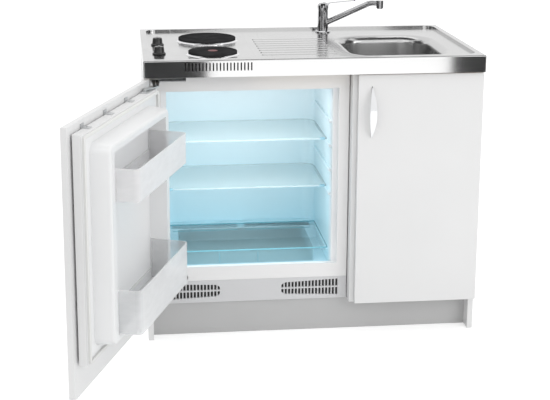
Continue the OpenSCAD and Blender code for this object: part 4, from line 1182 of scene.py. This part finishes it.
class Light(Enum):
    """The studio's lamps: place, target, width, height and power."""

    KEY = ((-1.6, -3.2, 3.2), (0.0, 0.0, 0.6), 2.6, 2.6, 7.0)
    FILL = ((2.6, -3.0, 1.8), (0.1, 0.0, 0.5), 2.4, 2.4, 28.0)
    TOP = ((0.0, 0.4, 3.4), (0.0, 0.2, 0.8), 2.4, 1.6, 7.0)
    FRIDGE_TOP = ((-0.186, 0.02, 0.735), (-0.186, 0.25, 0.35), 0.44, 0.05, 0.20)
    FRIDGE_EVEN = ((-0.186, 0.02, 0.465), (-0.186, 0.30, 0.43), 0.46, 0.50, 0.58)


class Flag(Enum):
    """Black cards that only metal and gloss reflect: centre, normal, width and height."""

    BAND_LEFT = ((-1.12, -1.2, 0.65), (0.0, 1.0, 0.0), 1.76, 1.2)
    BAND_RIGHT = ((1.25, -1.2, 0.65), (0.0, 1.0, 0.0), 1.1, 1.2)
    SIDE_LEFT = ((-2.6, 0.2, 1.5), (1.0, 0.0, 0.0), 2.6, 3.0)
    SIDE_RIGHT = ((2.6, -0.2, 1.5), (-1.0, 0.0, 0.0), 2.6, 3.0)
    OVERHEAD = ((0.0, -0.35, 2.6), (0.0, 0.0, -1.0), 2.6, 1.5)
    FRONT_LEFT = ((-3.6, -3.2, 1.6), (0.75, 0.66, 0.0), 1.0, 3.0)
    FRONT_RIGHT = ((3.0, -3.4, 1.6), (-0.66, 0.75, 0.0), 1.0, 3.0)


class RoomNodes(NodeTools):
    """The nodes of the room's air and floor, which look plain white."""

    def seen(self) -> Socket:
        """Return a value that is 1 for camera, glossy and transmission rays."""
        rays = self.node("ShaderNodeLightPath").outputs
        direct = self.math("MAXIMUM", rays["Is Camera Ray"], rays["Is Glossy Ray"])
        return self.math("MAXIMUM", direct, rays["Is Transmission Ray"])


def plain(name: str, tone: float, rough: float) -> bpy.types.Material:
    """Make a plain grey material.

    Args:
        name: Its name.
        tone: Its grey.
        rough: Its roughness.

    Returns:
        The material.
    """
    material = bpy.data.materials.new(name)
    material.use_nodes = True
    surface = material.node_tree.nodes["Principled BSDF"].inputs
    surface["Base Color"].default_value = (tone, tone, tone, 1)
    surface["Roughness"].default_value = rough
    return material


def card_mesh(name: str, width: float, height: float, material: bpy.types.Material) -> Mesh:
    """Make a level card round the origin.

    Args:
        name: Its name.
        width: Size along X.
        height: Size along Y.
        material: Its material.

    Returns:
        The mesh.
    """
    w, h = width / 2, height / 2
    mesh = bpy.data.meshes.new(name)
    mesh.from_pydata([(-w, -h, 0), (w, -h, 0), (w, h, 0), (-w, h, 0)], [], [(0, 1, 2, 3)])
    mesh.materials.append(material)
    return mesh


@dataclass
class Studio:
    """A white room with soft lamps and the photograph's camera."""

    lens: float = 81.36
    shift: Pair = (0.05, -0.15)
    place: Point = (-0.5572, -3.5677, 1.4894)
    heading: float = 5.81
    pitch: float = 12.85
    view_depth: float = 100.0
    room_light: float = 0.94
    floor_tone: float = 0.80
    floor_glow: float = 0.45
    floor_width: float = 24.0
    floor_drop: float = 0.0005
    flag_tone: float = 0.05

    def camera(self) -> None:
        """Set the camera at the photograph's viewing angle."""
        data = bpy.data.cameras.new("view")
        data.lens = self.lens
        data.shift_x, data.shift_y = self.shift
        data.clip_end = self.view_depth
        eye = placed("view", data)
        turn, dip = math.radians(self.heading), math.radians(self.pitch)
        level = math.cos(dip)
        forward = Vector((math.sin(turn) * level, math.cos(turn) * level, -math.sin(dip)))
        eye.location = self.place
        eye.rotation_euler = forward.to_track_quat("-Z", "Y").to_euler()
        bpy.context.scene.camera = eye

    def world(self) -> None:
        """Make the room's even light, seen as plain white."""
        world = bpy.data.worlds.new("room")
        world.use_nodes = True
        nodes = RoomNodes(world.node_tree)
        background = nodes.tree.nodes["Background"].inputs
        background["Color"].default_value = (1, 1, 1, 1)
        strength = nodes.node("ShaderNodeMix", {"data_type": "FLOAT"})
        for number, value in ((0, nodes.seen()), (2, self.room_light), (3, 1.0)):
            nodes.feed(strength.inputs[number], value)
        nodes.feed(background["Strength"], strength.outputs[0])
        bpy.context.scene.world = world

    def floor(self) -> None:
        """Lay a pale floor that keeps the unit's shadow."""
        material = plain("studio_floor", self.floor_tone, 0.9)
        nodes = RoomNodes(material.node_tree)
        surface = nodes.tree.nodes["Principled BSDF"].inputs
        surface["Emission Color"].default_value = (1, 1, 1, 1)
        nodes.feed(surface["Emission Strength"], nodes.math("MULTIPLY", nodes.seen(), self.floor_glow))
        mesh = card_mesh("floor", self.floor_width, self.floor_width, material)
        mesh.transform(Matrix.Translation((0, 0, -self.floor_drop)))
        ground = placed("floor", mesh)

    def lamps(self) -> None:
        """Hang the soft lamps."""
        for light in Light:
            place, target, width, height, power = light.value
            data = bpy.data.lights.new(light.name.lower(), "AREA")
            data.shape, data.size, data.size_y, data.energy = "RECTANGLE", width, height, power
            lamp = placed(light.name.lower(), data)
            lamp.location = place
            lamp.rotation_euler = (Vector(target) - Vector(place)).to_track_quat("-Z", "Y").to_euler()
            lamp.visible_camera = False

    def flags(self) -> None:
        """Stand the black cards where only reflections meet them."""
        material = plain("flag_black", self.flag_tone, 1.0)
        for flag in Flag:
            centre, normal, width, height = flag.value
            mesh = card_mesh(flag.name.lower(), width, height, material)
            spin = Vector(normal).to_track_quat("Z", "Y").to_matrix().to_4x4()
            mesh.transform(Matrix.Translation(centre) @ spin)
            card = placed(f"flag_{flag.name.lower()}", mesh)
            card.visible_camera = card.visible_diffuse = card.visible_shadow = False
            card.visible_transmission = card.visible_volume_scatter = False

    def build(self) -> None:
        """Set up the room, the floor, the lamps and the camera."""
        bpy.context.scene.view_settings.view_transform = "Standard"
        self.camera()
        self.world()
        self.floor()
        self.lamps()
        self.flags()


def main() -> None:
    """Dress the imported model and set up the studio."""
    logging.basicConfig(level=logging.INFO, format="%(name)s %(message)s")
    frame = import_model()
    Studio().build()
    dress_frame(frame)
    for assembly in (Hob(), ColdRoom(), DoorSeal(), Fastenings(), CondenserGrid(), SystemHoles()):
        assembly.build()
        log.info("%s built", type(assembly).__name__)


if __name__ == "__main__":
    main()
